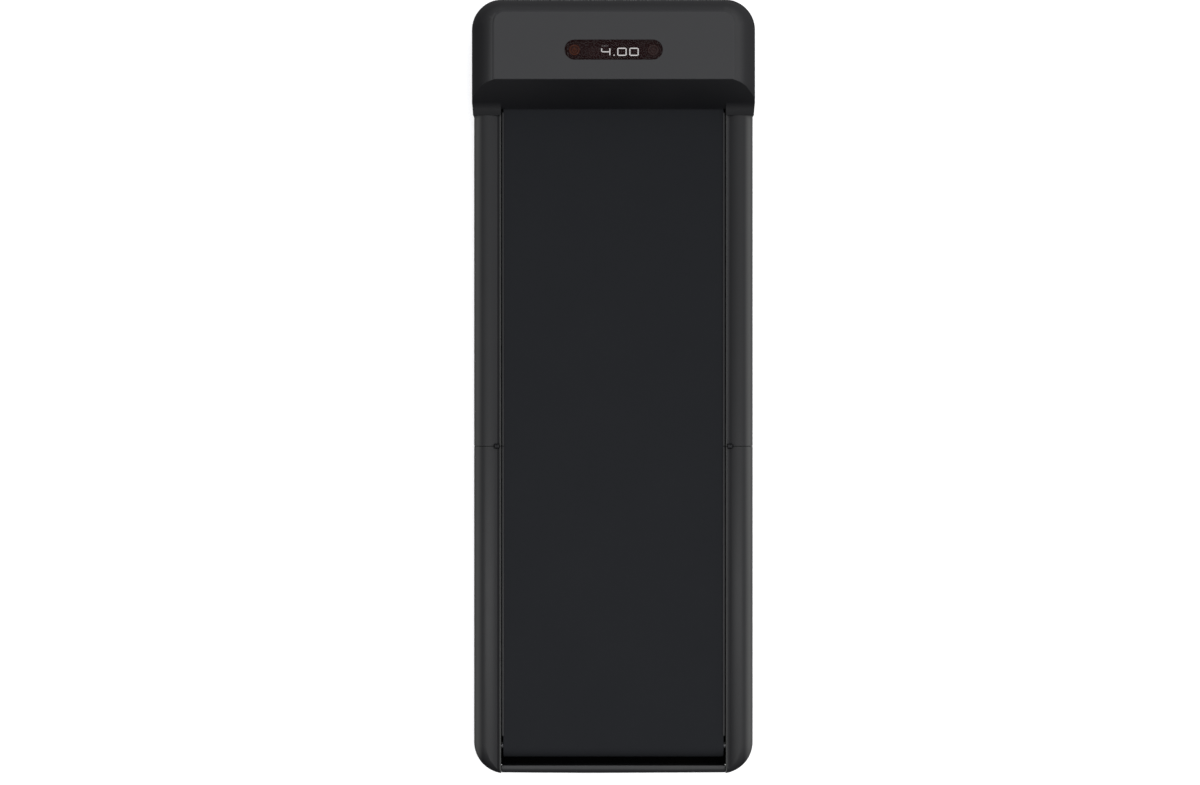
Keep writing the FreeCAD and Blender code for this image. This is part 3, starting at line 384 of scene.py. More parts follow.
def turned_metal(name, dark, light, rough, along):
    """Machined or drawn metal with hairlines running one way."""
    material, tree, shader, coords = start_material(name)
    place = coords.outputs["Object"]
    lines = use_group(tree, SCRATCH, place, Along=along)
    mottle = use_group(tree, GRAIN, place, Scale=500.0)
    colour = blend_colour(tree, lines.outputs["Mask"], dark, light)
    wire(tree, colour, shader.inputs["Base Color"])
    spread = math_node(tree, "MULTIPLY", mottle.outputs["Mottle"], 0.5)
    wire(tree, ranged(tree, spread, rough[0], rough[1], (0.1, 0.4)), shader.inputs["Roughness"])
    shader.inputs["Metallic"].default_value = 1.0
    bump(tree, shader, lines.outputs["Mask"], 0.00002, 0.5)
    return material


def rail_finish():
    """Satin moulding whose outer shoulder and inner lip are painted lighter, as painted highlights."""
    material, tree, shader, coords = start_material("rail_satin")
    place = coords.outputs["Object"]
    grained = use_group(tree, GRAIN, place, Scale=1100.0)
    split = add(tree, "ShaderNodeSeparateXYZ")
    wire(tree, place, split.inputs[0])
    across = math_node(tree, "ABSOLUTE", split.outputs["X"])
    # Painted highlight: lighter colour on the outer shoulder and inner lip; coarse is its mask
    shoulder = smooth_step(tree, across, HIGHLIGHT_FROM, HIGHLIGHT_TO)
    within = math_node(tree, "LESS_THAN", across, LIP_OUT)
    lip = math_node(tree, "MULTIPLY", within, math_node(tree, "GREATER_THAN", across, LIP_IN))
    coarse = math_node(tree, "MAXIMUM", shoulder, lip)
    mottle = ranged(tree, grained.outputs["Mottle"], 0.0, 1.0)
    smooth = blend_colour(tree, mottle, BLACK, BLACK_WORN)
    highlight_colour = blend_colour(tree, mottle, RAIL_HIGHLIGHT, RAIL_HIGHLIGHT_MOTTLED)
    dusty = use_group(tree, DUST, place, Amount=0.02)
    colour = blend_colour(tree, coarse, smooth, highlight_colour)
    colour = blend_colour(tree, dusty.outputs["Mask"], colour, HOUSE_DUST)
    wire(tree, colour, shader.inputs["Base Color"])
    wire(tree, ranged(tree, grained.outputs["Mottle"], 0.33, 0.40), shader.inputs["Roughness"])
    shader.inputs["Specular IOR Level"].default_value = 0.32
    bump(tree, shader, grained.outputs["Height"], 0.00003)
    return material


def belting():
    """Woven-backed PVC belting with a small raised diamond on the walking side."""
    material, tree, shader, coords = start_material("diamond_belting")
    split = add(tree, "ShaderNodeSeparateXYZ")
    wire(tree, coords.outputs["UV"], split.inputs[0])
    pitch = 2.0 * math.pi / BELT_DIAMONDS
    across = math_node(tree, "MULTIPLY", split.outputs["X"], pitch)
    down = math_node(tree, "MULTIPLY", split.outputs["Y"], pitch * 0.6)
    one = math_node(tree, "SINE", math_node(tree, "ADD", across, down))
    two = math_node(tree, "SINE", math_node(tree, "SUBTRACT", across, down))
    one, two = math_node(tree, "ABSOLUTE", one), math_node(tree, "ABSOLUTE", two)
    diamonds = math_node(tree, "MULTIPLY", one, two)
    fine = noise(tree, coords.outputs["UV"], 2400.0, 3.0)
    slow = noise(tree, coords.outputs["UV"], 7.0, 5.0)
    height = math_node(tree, "ADD", diamonds, math_node(tree, "MULTIPLY", fine, 0.5))
    tone = blend_colour(tree, ranged(tree, slow, 0.0, 1.0), BELT_DARK, BELT_LIGHT)
    tone = blend_colour(tree, math_node(tree, "MULTIPLY", diamonds, 0.35), tone, BELT_CREST)
    wire(tree, tone, shader.inputs["Base Color"])
    wire(tree, ranged(tree, slow, 0.62, 0.72), shader.inputs["Roughness"])
    shader.inputs["Specular IOR Level"].default_value = 0.03
    bump(tree, shader, height, 0.00018, 0.6)
    return material


def fibreboard():
    """Pressed wood fibre, waxed on top."""
    material, tree, shader, coords = start_material("waxed_fibreboard")
    fleck = noise(tree, coords.outputs["Object"], 260.0, 8.0)
    colour = blend_colour(tree, ranged(tree, fleck, 0.0, 1.0), (0.085, 0.055, 0.035), (0.19, 0.13, 0.085))
    wire(tree, colour, shader.inputs["Base Color"])
    wire(tree, ranged(tree, fleck, 0.45, 0.62), shader.inputs["Roughness"])
    bump(tree, shader, fleck, 0.00006)
    return material


def circuit_green():
    """Green solder mask over copper tracks."""
    material, tree, shader, coords = start_material("solder_mask_green")
    cells = add(tree, "ShaderNodeTexVoronoi", feature="F1", distance="MANHATTAN")
    cells.inputs["Scale"].default_value = 180.0
    wire(tree, coords.outputs["Object"], cells.inputs["Vector"])
    track = math_node(tree, "GREATER_THAN", cells.outputs["Distance"], 0.55)
    colour = blend_colour(tree, track, (0.008, 0.075, 0.03), (0.03, 0.17, 0.06))
    wire(tree, colour, shader.inputs["Base Color"])
    wire(tree, ranged(tree, cells.outputs["Distance"], 0.3, 0.45, (0.0, 1.0)), shader.inputs["Roughness"])
    bump(tree, shader, track, 0.00004)
    return material


def lens_smoke():
    """Smoked lens: you see the lamps through it, dark wine colour elsewhere."""
    material, tree, shader, coords = start_material("smoked_lens")
    haze = noise(tree, coords.outputs["Object"], 30.0, 5.0)
    dark, light = (0.0150, 0.0052, 0.0054), (0.0190, 0.0072, 0.0074)
    wire(tree, blend_colour(tree, ranged(tree, haze, 0.0, 1.0), dark, light), shader.inputs["Base Color"])
    wire(tree, ranged(tree, haze, 0.10, 0.16), shader.inputs["Roughness"])
    wire(tree, ranged(tree, haze, 0.56, 0.60), shader.inputs["Alpha"])
    shader.inputs["Specular IOR Level"].default_value = 0.10
    material.surface_render_method = "BLENDED"
    return material


def lamp(name, base, glow, strength, other=None):
    """A backlit print. With other, pieces on the right half of the display glow in that colour."""
    material, tree, shader, coords = start_material(name)
    cell = noise(tree, coords.outputs["Object"], 420.0)
    cells = ranged(tree, cell, 0.0, 1.0)
    colour = blend_colour(tree, cells, tuple(0.88 * c for c in glow), glow)
    if other:
        place = add(tree, "ShaderNodeSeparateXYZ")
        wire(tree, coords.outputs["Object"], place.inputs[0])
        on_right = math_node(tree, "GREATER_THAN", place.outputs["X"], 0.0)
        colour = blend_colour(tree, on_right, colour, other)
    wire(tree, colour, shader.inputs["Emission Color"])
    shader.inputs["Emission Strength"].default_value = strength
    wire(tree, blend_colour(tree, cells, base, tuple(1.2 * c for c in base)), shader.inputs["Base Color"])
    wire(tree, ranged(tree, cell, 0.4, 0.5), shader.inputs["Roughness"])
    return material


LOOKS = {
    "cover_plastic": cover_finish(),
    "panel_plastic": moulded(
        "panel_satin", (0.0100, 0.0101, 0.0116), (0.0122, 0.0123, 0.0140), (0.36, 0.41), 1500, 0.00002, 0.02),
    "rail_plastic": rail_finish(),
    "guide_plastic": moulded("guide_matt", BLACK, BLACK_WORN, (0.42, 0.52), 1200, 0.00003, specular=0.34),
    "tray_plastic": moulded(
        "tray_matt", (0.010, 0.010, 0.011), (0.015, 0.015, 0.016), (0.5, 0.6), 700, 0.00006),
    "belt_rubber": belting(),
    "lens_smoked": lens_smoke(),
    # Painted shade: near-black for the skirt under the rear roller
    "pit_black": moulded(
        "skirt_shade_black", (0.0008, 0.0008, 0.0009), (0.0014, 0.0014, 0.0015), (0.85, 0.95), 900, 0.00002,
        specular=0.03),
    "print_black": moulded(
        "display_print_black", (0.0036, 0.0030, 0.0031), (0.0048, 0.0040, 0.0041), (0.4, 0.5), 900, 0.00001,
        specular=0.1),
    "unit_print": lamp("unit_print_white", (0.3, 0.3, 0.3), (0.9, 0.88, 0.87), 0.8),
    "circuit_board": circuit_green(),
    "digit_lit": lamp("digits_lit", (0.6, 0.6, 0.6), (1.0, 0.98, 0.97), 3.6),
    # Painted light: the unlit digits glow faintly
    "digit_off": lamp("digits_unlit", (0.05, 0.035, 0.035), (0.30, 0.18, 0.17), 0.12),
    "icon_amber": lamp("icons_backlit", (0.05, 0.02, 0.01), (0.66, 0.17, 0.045), 0.75, (0.24, 0.16, 0.145)),
    "frame_steel": moulded(
        "frame_powder_coat", (0.012, 0.012, 0.013), (0.017, 0.017, 0.018), (0.38, 0.5), 600, 0.00008,
        metallic=0.1),
    "hinge_steel": moulded(
        "hinge_black_oxide", (0.010, 0.010, 0.011), (0.016, 0.016, 0.018), (0.50, 0.62), 900, 0.00002,
        specular=0.3, metallic=0.2),
    # Painted shade: the axle steel is darkened so its end, seen through the rear notch, stays dark
    "axle_steel": turned_metal(
        "darkened_axle_steel", (0.13, 0.13, 0.135), (0.20, 0.20, 0.205), (0.36, 0.48), (900, 40, 40)),
    "roller_steel": turned_metal(
        "roller_coat", (0.10, 0.10, 0.11), (0.16, 0.16, 0.17), (0.32, 0.42), (700, 30, 30)),
    "bearing_steel": turned_metal(
        "ground_bearing", (0.20, 0.20, 0.21), (0.30, 0.30, 0.31), (0.28, 0.38), (60, 700, 700)),
    "deck_board": fibreboard(),
    "soft_rubber": moulded(
        "soft_rubber", (0.009, 0.009, 0.010), (0.014, 0.014, 0.015), (0.72, 0.85), 800, 0.00008,
        specular=0.25),
    "motor_paint": moulded(
        "motor_enamel", (0.016, 0.016, 0.018), (0.022, 0.022, 0.024), (0.25, 0.34), 500, 0.00003,
        metallic=0.3),
    "cast_alloy": turned_metal(
        "machined_alloy", (0.48, 0.49, 0.50), (0.62, 0.63, 0.64), (0.26, 0.38), (60, 500, 60)),
    "component_plastic": moulded(
        "component_sleeve", (0.018, 0.020, 0.035), (0.030, 0.032, 0.050), (0.3, 0.4), 500, 0.00002),
    "inlet_plastic": moulded(
        "inlet_black", (0.008, 0.008, 0.008), (0.011, 0.011, 0.011), (0.28, 0.36), 900, 0.00002),
    "contact_brass": turned_metal(
        "plated_contact", (0.62, 0.50, 0.26), (0.74, 0.62, 0.36), (0.2, 0.3), (60, 60, 700)),
    "rocker_plastic": moulded(
        "rocker_red", (0.16, 0.008, 0.008), (0.22, 0.012, 0.012), (0.18, 0.26), 400, 0.00001, coat=0.3),
    "wheel_plastic": moulded(
        "wheel_grey", (0.035, 0.035, 0.038), (0.048, 0.048, 0.051), (0.42, 0.52), 800, 0.00004),
    "wheel_rubber": moulded(
        "wheel_tyre", (0.010, 0.010, 0.010), (0.016, 0.016, 0.016), (0.7, 0.82), 700, 0.00008, specular=0.25),
}


# Mesh helpers

def in_scene(name, data):
    """A new object in the scene."""
    item = bpy.data.objects.new(name, data)
    bpy.context.scene.collection.objects.link(item)
    return item


def finish_piece(mesh, name, body, look, *replaced):
    """The mesh as a piece of the body, with its look, in place of the replaced nodes."""
    piece = in_scene(name, mesh)
    mesh.materials.clear()
    mesh.materials.append(LOOKS[look])
    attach(piece, body)
    if replaced:
        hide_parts(*replaced)
    return piece


def baked(mesh, build):
    """The mesh with modifiers applied. build(object) adds them."""
    maker = in_scene("maker", mesh)
    build(maker)
    bpy.context.view_layer.update()
    depsgraph = bpy.context.evaluated_depsgraph_get()
    result = bpy.data.meshes.new_from_object(maker.evaluated_get(depsgraph), depsgraph=depsgraph)
    bpy.data.objects.remove(maker)
    return result


def eased(node, width, segments=2, angle=28.0):
    """A copy of a node's mesh with its doubles merged and its sharp edges rounded off."""
    mesh = NODES[node].data.copy()
    work = bmesh.new()
    work.from_mesh(mesh)
    bmesh.ops.remove_doubles(work, verts=work.verts, dist=0.004 * MM)
    bmesh.ops.dissolve_limit(work, angle_limit=math.radians(0.6), verts=work.verts, edges=work.edges)
    work.to_mesh(mesh)
    work.free()
    mesh.shade_smooth()

    def build(maker):
        bevel = maker.modifiers.new("edge", "BEVEL")
        bevel.width = width
        bevel.segments = segments
        bevel.limit_method = "ANGLE"
        bevel.angle_limit = math.radians(angle)
        bevel.use_clamp_overlap = True
        bevel.miter_outer = "MITER_ARC"
        weighted = maker.modifiers.new("normals", "WEIGHTED_NORMAL")
        weighted.keep_sharp = True
        weighted.weight = 60

    return baked(mesh, build)


# Width of the rounded edge on each node's copy, in millimetres
EDGES = {
    "head_cover": 1.6, "top_panel": 0.5, "display_lens": 0.3, "rear_bumper": 0.8,
    "front_rail_left": 0.7, "front_rail_right": 0.7, "rear_rail_left": 0.7, "rear_rail_right": 0.7,
    "front_guides": 0.3, "rear_guides": 0.3, "front_side_member_left": 0.8, "front_side_member_right": 0.8,
    "rear_side_member_left": 0.8, "rear_side_member_right": 0.8, "front_cross_tubes": 0.8,
    "rear_cross_tubes": 0.8, "front_board": 0.8, "rear_board": 0.8, "front_cushions": 0.8,
    "rear_cushions": 0.8, "front_hinge_leaves": 0.35, "rear_hinge_leaves": 0.35, "hinge_pins": 0.3,
    "axle_brackets": 0.3, "rear_bar": 0.5, "wheel_brackets": 0.3,
    "wheel_rim_left": 0.5, "wheel_rim_right": 0.5, "wheel_tyre_left": 0.4, "wheel_tyre_right": 0.4,
    "power_inlet": 0.4, "switch_frame": 0.4, "switch_rocker": 0.4, "inlet_pins": 0.3,
    "tension_bolt_left": 0.3, "tension_bolt_right": 0.3, "front_roller": 0.6, "rear_roller": 0.6,
    "front_axle": 0.5, "rear_axle": 0.5, "driven_pulley": 0.4, "motor_pulley": 0.3, "motor_shaft": 0.6,
    "motor_can": 1.2, "motor_bracket": 0.6, "heat_sink": 0.3, "board_components": 0.5,
}


def blacken_skirt(bumper):
    """Painted shade: near-black on the plate that runs from the bumper under the rear roller."""
    bumper.data.materials.append(LOOKS["pit_black"])
    for face in bumper.data.polygons:
        if face.center.z < SKIRT_TOP:
            face.material_index = 1


def dress_nodes():
    """Its finish for every node, and an eased copy in place of each node in EDGES."""
    for name, node in NODES.items():
        look = NODE_LOOK[name]
        for slot in node.material_slots:
            slot.material = LOOKS[look]
        if name in EDGES:
            mesh = eased(name, EDGES[name] * MM)
            piece = finish_piece(mesh, name + "_eased", body_of_node(name), look, name)
            if name == "rear_bumper":
                blacken_skirt(piece)


# Small repeated pieces, made by node trees

def make_tree(name, sizes):
    """A tree with a geometry input, named size inputs and a geometry output."""
    tree = bpy.data.node_groups.new(name, "GeometryNodeTree")
    tree.interface.new_socket("Geometry", in_out="INPUT", socket_type="NodeSocketGeometry")
    for label, value in sizes.items():
        kind = "NodeSocketInt" if isinstance(value, int) else "NodeSocketFloat"
        tree.interface.new_socket(label, in_out="INPUT", socket_type=kind).default_value = value
    tree.interface.new_socket("Geometry", in_out="OUTPUT", socket_type="NodeSocketGeometry")
    return tree, tree.nodes.new("NodeGroupInput"), tree.nodes.new("NodeGroupOutput")


def close_tree(tree, instances, outs, look):
    """The tree's end: instances made real and given their finish."""
    real = add(tree, "GeometryNodeRealizeInstances")
    wire(tree, instances, real.inputs[0])
    paint = add(tree, "GeometryNodeSetMaterial")
    paint.inputs["Material"].default_value = LOOKS[look]
    wire(tree, real.outputs[0], paint.inputs["Geometry"])
    wire(tree, paint.outputs[0], outs.inputs[0])


def grow(tree, mesh, **sizes):
    """The plain mesh that the tree makes from the given mesh."""
    names = {item.name: item.identifier for item in tree.interface.items_tree if item.in_out == "INPUT"}

    def build(maker):
        modifier = maker.modifiers.new("grow", "NODES")
        modifier.node_group = tree
        for label, value in sizes.items():
            modifier[names[label]] = value

    return baked(mesh, build)


def disc(tree, ins, label, sides):
    """A circle or polygon whose radius is one of the tree's named sizes."""
    ring = add(tree, "GeometryNodeCurvePrimitiveCircle")
    ring.inputs["Resolution"].default_value = sides
    wire(tree, ins.outputs[label], ring.inputs["Radius"])
    return ring.outputs["Curve"]


def raised(tree, curves, height):
    """Curves filled, then raised: one curve in another leaves a hole."""
    join = add(tree, "GeometryNodeJoinGeometry")
    for curve in reversed(curves):
        wire(tree, curve, join.inputs[0])
    fill = add(tree, "GeometryNodeFillCurve", mode="TRIANGLES")
    wire(tree, join.outputs[0], fill.inputs["Curve"])
    extrude = add(tree, "GeometryNodeExtrudeMesh", mode="FACES")
    wire(tree, fill.outputs[0], extrude.inputs["Mesh"])
    wire(tree, height, extrude.inputs["Offset Scale"])
    extrude.inputs["Individual"].default_value = False
    return extrude.outputs["Mesh"]


def facing_rotation(tree):
    """The turn that points Z along each point's facing."""
    facing = add(tree, "GeometryNodeInputNamedAttribute", data_type="FLOAT_VECTOR")
    facing.inputs["Name"].default_value = "facing"
    turn = add(tree, "FunctionNodeAlignRotationToVector", axis="Z")
    wire(tree, facing.outputs["Attribute"], turn.inputs["Vector"])
    return turn.outputs["Rotation"]


def screw_tree():
    """Socket-head screws standing on points, each turned to the point's facing."""
    sizes = {"Radius": 0.0035, "Height": 0.0016, "Socket": 0.0015, "Floor": 0.0004}
    tree, ins, outs = make_tree("socket_screws", sizes)
    head = raised(tree, [disc(tree, ins, "Radius", 20), disc(tree, ins, "Socket", 6)], ins.outputs["Height"])
    seat = raised(tree, [disc(tree, ins, "Socket", 6)], ins.outputs["Floor"])
    both = add(tree, "GeometryNodeJoinGeometry")
    wire(tree, seat, both.inputs[0])
    wire(tree, head, both.inputs[0])
    place = add(tree, "GeometryNodeInstanceOnPoints")
    wire(tree, ins.outputs["Geometry"], place.inputs["Points"])
    wire(tree, both.outputs[0], place.inputs["Instance"])
    wire(tree, facing_rotation(tree), place.inputs["Rotation"])
    close_tree(tree, place.outputs[0], outs, "hinge_steel")
    return tree


def weld_tree():
    """Weld beads: overlapping drops along edges, each a little different."""
    tree, ins, outs = make_tree("weld_beads", {"Drop": 0.0014, "Pitch": 0.0017, "Seed": 7})
    curve = add(tree, "GeometryNodeMeshToCurve")
    wire(tree, ins.outputs["Geometry"], curve.inputs["Mesh"])
    even = add(tree, "GeometryNodeResampleCurve", mode="LENGTH")
    wire(tree, curve.outputs[0], even.inputs["Curve"])
    wire(tree, ins.outputs["Pitch"], even.inputs["Length"])
    drop = add(tree, "GeometryNodeMeshIcoSphere")
    drop.inputs["Subdivisions"].default_value = 2
    wire(tree, ins.outputs["Drop"], drop.inputs["Radius"])
    smooth = add(tree, "GeometryNodeSetShadeSmooth")
    wire(tree, drop.outputs["Mesh"], smooth.inputs[0])
    size = add(tree, "FunctionNodeRandomValue", data_type="FLOAT")
    size.inputs[2].default_value = 0.85
    size.inputs[3].default_value = 1.15
    wire(tree, ins.outputs["Seed"], size.inputs["Seed"])
    place = add(tree, "GeometryNodeInstanceOnPoints")
    wire(tree, even.outputs[0], place.inputs["Points"])
    wire(tree, smooth.outputs[0], place.inputs["Instance"])
    wire(tree, size.outputs[1], place.inputs["Scale"])
    close_tree(tree, place.outputs[0], outs, "frame_steel")
    return tree


def points_mesh(name, places):
    """Points with a facing each, from ((x, y, z), (fx, fy, fz)) pairs in millimetres."""
    mesh = bpy.data.meshes.new(name)
    mesh.from_pydata([tuple(v * MM for v in place) for place, _ in places], [], [])
    facing = mesh.attributes.new("facing", "FLOAT_VECTOR", "POINT")
    for i, (_, direction) in enumerate(places):
        facing.data[i].vector = direction
    return mesh


def add_screws(tree, name, body, places, **sizes):
    """Screws at the places, as one piece of the body."""
    finish_piece(grow(tree, points_mesh(name, places), **sizes), name, body, "hinge_steel")


def mirrored(places):
    """The places, and a mirror copy of each one that is off the middle."""
    out = []
    for (x, y, z), (fx, fy, fz) in places:
        out.append(((x, y, z), (fx, fy, fz)))
        if abs(x) > 0.01:
            out.append(((-x, y, z), (-fx, fy, fz)))
    return out


def screws():
    """Screws that hold the tray, the rails, the skirt and the inlet. Places are in millimetres."""
    tree = screw_tree()
    tray = span("base_tray")[0].z / MM
    tray_back = span("base_tray")[0].y / MM
    head_front = span("head_cover")[1].y / MM
    edge = span("base_tray")[1].x / MM
    spots = [(edge - TRAY_SIDE_IN, tray_back + y) for y in TRAY_SIDE]
    spots += [(x, tray_back + TRAY_END_IN) for x in TRAY_REAR]
    spots += [(x, head_front - TRAY_END_IN) for x in TRAY_FRONT]
    spots += [(TRAY_INNER[0], tray_back + TRAY_INNER[1])]
    add_screws(tree, "tray_screws", "front_deck", mirrored([((x, y, tray), DOWN) for x, y in spots]))

    for half in ("front", "rear"):
        low, high = span(half + "_side_member_right")
        count = int((high.y - low.y) / MM / RAIL_STEP) - 1
        stops = [low.y / MM + RAIL_FIRST + i * RAIL_STEP for i in range(count)]
        middle = (low.x + high.x) / 2 / MM
        places = [((middle, y, low.z / MM), DOWN) for y in stops if y < tray_back - RAIL_CLEAR]
        body = half + "_deck"
        sizes = {"Radius": 0.0042, "Height": 0.0022, "Socket": 0.0018}
        add_screws(tree, body + "_rail_screws", body, mirrored(places), **sizes)

    skirt = span("rear_bumper")[0].z / MM
    back = span("rear_bumper")[0].y / MM
    places = [((x, back + y, skirt), DOWN) for x, y in SKIRT_SCREWS]
    add_screws(tree, "skirt_screws", "rear_deck", mirrored(places))

    low, high = span("power_inlet")
    front = high.y / MM
    middle = (low.z + high.z) / 2 / MM
    places = [((x / MM, front, middle), FORWARD) for x in (low.x + INLET_IN * MM, high.x - INLET_IN * MM)]
    sizes = {"Radius": 0.0015, "Height": 0.0008, "Socket": 0.0007, "Floor": 0.0002}
    add_screws(tree, "inlet_screws", "front_deck", places, **sizes)


def weld_runs():
    """A bead round each end of each cross tube, where it meets its side member."""
    tree = weld_tree()
    member = span("front_side_member_right")[0].x
    for body, node in (("front_deck", "front_cross_tubes"), ("rear_deck", "rear_cross_tubes")):
        low, high = span(node)
        tube = high.z - low.z
        gap = (high.y - low.y - tube) / 3
        verts, edges = [], []
        for i in range(4):
            y0 = low.y + gap * i
            for side in (-1, 1):
                base = len(verts)
                x = side * member
                verts += [(x, y0, low.z), (x, y0 + tube, low.z), (x, y0 + tube, high.z), (x, y0, high.z)]
                edges += [(base + k, base + (k + 1) % 4) for k in range(4)]
        mesh = bpy.data.meshes.new(body + "_welds")
        mesh.from_pydata(verts, edges, [])
        finish_piece(grow(tree, mesh, Seed=7), body + "_welds", body, "frame_steel")


# Turned and printed pieces

def turned(profile, place, turns=40):
    """Vertices and faces of a closed profile of (radius, height) turned about a vertical axis."""
    verts, faces = [], []
    count = len(profile)
    for i in range(turns):
        angle = 2 * math.pi * i / turns
        for r, z in profile:
            verts.append((place[0] + r * math.cos(angle), place[1] + r * math.sin(angle), place[2] + z))
    for i in range(turns):
        a, b = i * count, (i + 1) % turns * count
        for k in range(count - 1):
            faces.append((a + k, b + k, b + k + 1, a + k + 1))
    return verts, faces


def outward(mesh, doubles=0.0):
    """Doubles merged if a distance is given, faces turned outward, and shading smooth up to 35 degrees."""
    work = bmesh.new()
    work.from_mesh(mesh)
    if doubles:
        bmesh.ops.remove_doubles(work, verts=work.verts, dist=doubles)
    bmesh.ops.recalc_face_normals(work, faces=work.faces)
    work.to_mesh(mesh)
    work.free()
    mesh.shade_smooth()
    mesh.set_sharp_from_angle(angle=math.radians(35))
    return mesh


def joined_mesh(name, shapes):
    """One mesh from several (vertices, faces) pairs."""
    verts, faces = [], []
    for more_verts, more_faces in shapes:
        base = len(verts)
        verts += more_verts
        faces += [tuple(base + i for i in face) for face in more_faces]
    mesh = bpy.data.meshes.new(name)
    mesh.from_pydata(verts, [], faces)
    return outward(mesh, 0.002 * MM)


def foot_profile(top):
    """Half section of a foot, (radius, height) from its fixing hole round the tread to its top."""
    hole = [(0.0, 3.0), (3.4, 3.0), (3.6, 0.5), (4.6, 0.0)]
    tread = [(6.2, 0.0), (6.5, 0.9), (7.3, 0.9), (7.6, 0.0), (9.2, 0.0), (9.5, 0.9), (10.3, 0.9), (10.6, 0.0)]
    rim = [(12.4, 0.0), (13.5, 0.5), (FOOT_R, 1.6), (13.6, top - 4.6)]
    stem = [(13.0, top - 4.0), (8.2, top - 4.0), (8.0, top), (0.0, top)]
    return [(r * MM, z * MM) for r, z in hole + tread + rim + stem]


def rubber_feet():
    """Feet with tread rings and a sunk fixing hole."""
    x = (span("front_feet")[1].x - FOOT_R * MM) / MM
    for half, spots in (("front", FRONT_FEET), ("rear", REAR_FEET)):
        shapes = []
        for y, top in spots:
            for side in (-1, 1):
                shapes.append(turned(foot_profile(top), (side * x * MM, y * MM, 0.0)))
        name = half + "_feet_treaded"
        finish_piece(joined_mesh(name, shapes), name, half + "_deck", "soft_rubber", half + "_feet")


def block(xs, ys, zs):
    """Vertices and faces of a box, from its ends in millimetres."""
    corners = [(x * MM, y * MM, z * MM) for z in zs for y in ys for x in xs]
    faces = [(0, 2, 3, 1), (4, 5, 7, 6), (0, 1, 5, 4), (2, 6, 7, 3), (0, 4, 6, 2), (1, 3, 7, 5)]
    return corners, faces


def seam_flap():
    """Thin rubber flaps under the fold seam, one each side; they also stand in for the shade there, hiding the
    pale floor. They go with the front half.
    """
    near, far = FLAP_X
    shapes = [block(xs, FLAP_Y, FLAP_Z) for xs in ((-far, -near), (near, far))]
    finish_piece(joined_mesh("seam_flap", shapes), "seam_flap", "front_deck", "soft_rubber")


def rounded_plate(low, high, z0, z1, steps=14):
    """A pill-ended plate between two corners, its long side along X."""
    r = (high[1] - low[1]) / 2
    middle = (high[1] + low[1]) / 2
    ring = []
    for centre, start in ((high[0] - r, -math.pi / 2), (low[0] + r, math.pi / 2)):
        for i in range(steps + 1):
            angle = start + math.pi * i / steps
            ring.append((centre + r * math.cos(angle), middle + r * math.sin(angle)))
    count = len(ring)
    verts = [(x, y, z0) for x, y in ring] + [(x, y, z1) for x, y in ring]
    faces = [tuple(reversed(range(count))), tuple(range(count, 2 * count))]
    faces += [(k, (k + 1) % count, (k + 1) % count + count, k + count) for k in range(count)]
    return verts, faces


def display_print():
    """Dark print sheet under the lens, and a small generic unit bar above the first lit digit."""
    low, high = span("display_lens")
    face = span("display_digits")[0].z
    inset = 4.2 * MM
    corners = (low.x + inset, low.y + inset), (high.x - inset, high.y - inset)
    sheet = rounded_plate(*corners, face + 0.02 * MM, face + 0.12 * MM)
    finish_piece(joined_mesh("display_print", [sheet]), "display_print", "front_deck", "print_black")
    left = span("display_digits")[0].x
    top = span("display_digits")[1].y
    bars = []
    for start, width in ((1.0, 3.2), (5.0, 3.6), (9.4, 2.6)):
        x0 = left + start * MM
        corners = (x0, top + 2.6 * MM), (x0 + width * MM, top + 4.0 * MM)
        bars.append(rounded_plate(*corners, face + 0.1 * MM, face + 0.3 * MM, 4))
    finish_piece(joined_mesh("unit_bar", bars), "unit_bar", "front_deck", "unit_print")


# Running belt

def belt_path():
    """The belt's thickness, the radius and height of its centre line, and both rollers' places."""
    low, high = span("belt_front")
    back_low = span("belt_rear")[0]
    thick = high.z - span("front_board")[1].z
    radius = (high.z - low.z) / 2 - thick / 2
    middle = (high.z + low.z) / 2
    front = high.y - radius - thick / 2
    rear = back_low.y + radius + thick / 2
    return thick, radius, middle, front, rear


def strand_stations(start, stop):
    """Places along a straight strand, closer together by the fold seam."""
    fine, coarse, reach = 2.5 * MM, 20.0 * MM, 75.0 * MM
    sign = 1 if stop > start else -1
    places = [start]
    while sign * (stop - places[-1]) > 1e-9:
        step = fine if abs(places[-1] - SEAM_Y) < reach else coarse
        places.append(places[-1] + sign * step)
    places[-1] = stop
    return places


def belt_mesh(name, stations, thick, half):
    """A flat band with slightly rounded edges through stations of (y, z, outward y, outward z)."""
    edge = 0.3 * MM
    side = 0.5 - edge / thick
    ring = [(-half, -0.5), (-half, side), (-half + edge, 0.5), (-half * 0.5, 0.5), (0.0, 0.5)]
    ring += [(half * 0.5, 0.5), (half - edge, 0.5), (half, side), (half, -0.5), (0.0, -0.5)]
    verts = []
    lengths = [0.0]
    for i, (y, z, ny, nz) in enumerate(stations):
        if i:
            before = stations[i - 1]
            lengths.append(lengths[-1] + math.hypot(y - before[0], z - before[1]))
        for x, lift in ring:
            verts.append((x, y + ny * lift * thick, z + nz * lift * thick))
    size = len(ring)
    faces = []
    for i in range(len(stations) - 1):
        for k in range(size):
            a = i * size + k
            b = i * size + (k + 1) % size
            faces.append((a, b, b + size, a + size))
    faces.append(tuple(reversed(range(size))))
    last = (len(stations) - 1) * size
    faces.append(tuple(range(last, last + size)))
    mesh = bpy.data.meshes.new(name)
    mesh.from_pydata(verts, [], faces)
    uv = mesh.uv_layers.new(name="belt")
    for loop in mesh.loops:
        station, k = divmod(loop.vertex_index, size)
        uv.data[loop.index].uv = (ring[k][0], lengths[station])
    return outward(mesh)


def arc_stations(y, middle, radius, start, steps=24):
    """Places round half a roller, from the start angle."""
    places = []
    for i in range(steps + 1):
        angle = start + math.pi * i / steps
        c, s = math.cos(angle), math.sin(angle)
        places.append((y + radius * c, middle + radius * s, c, s))
    return places


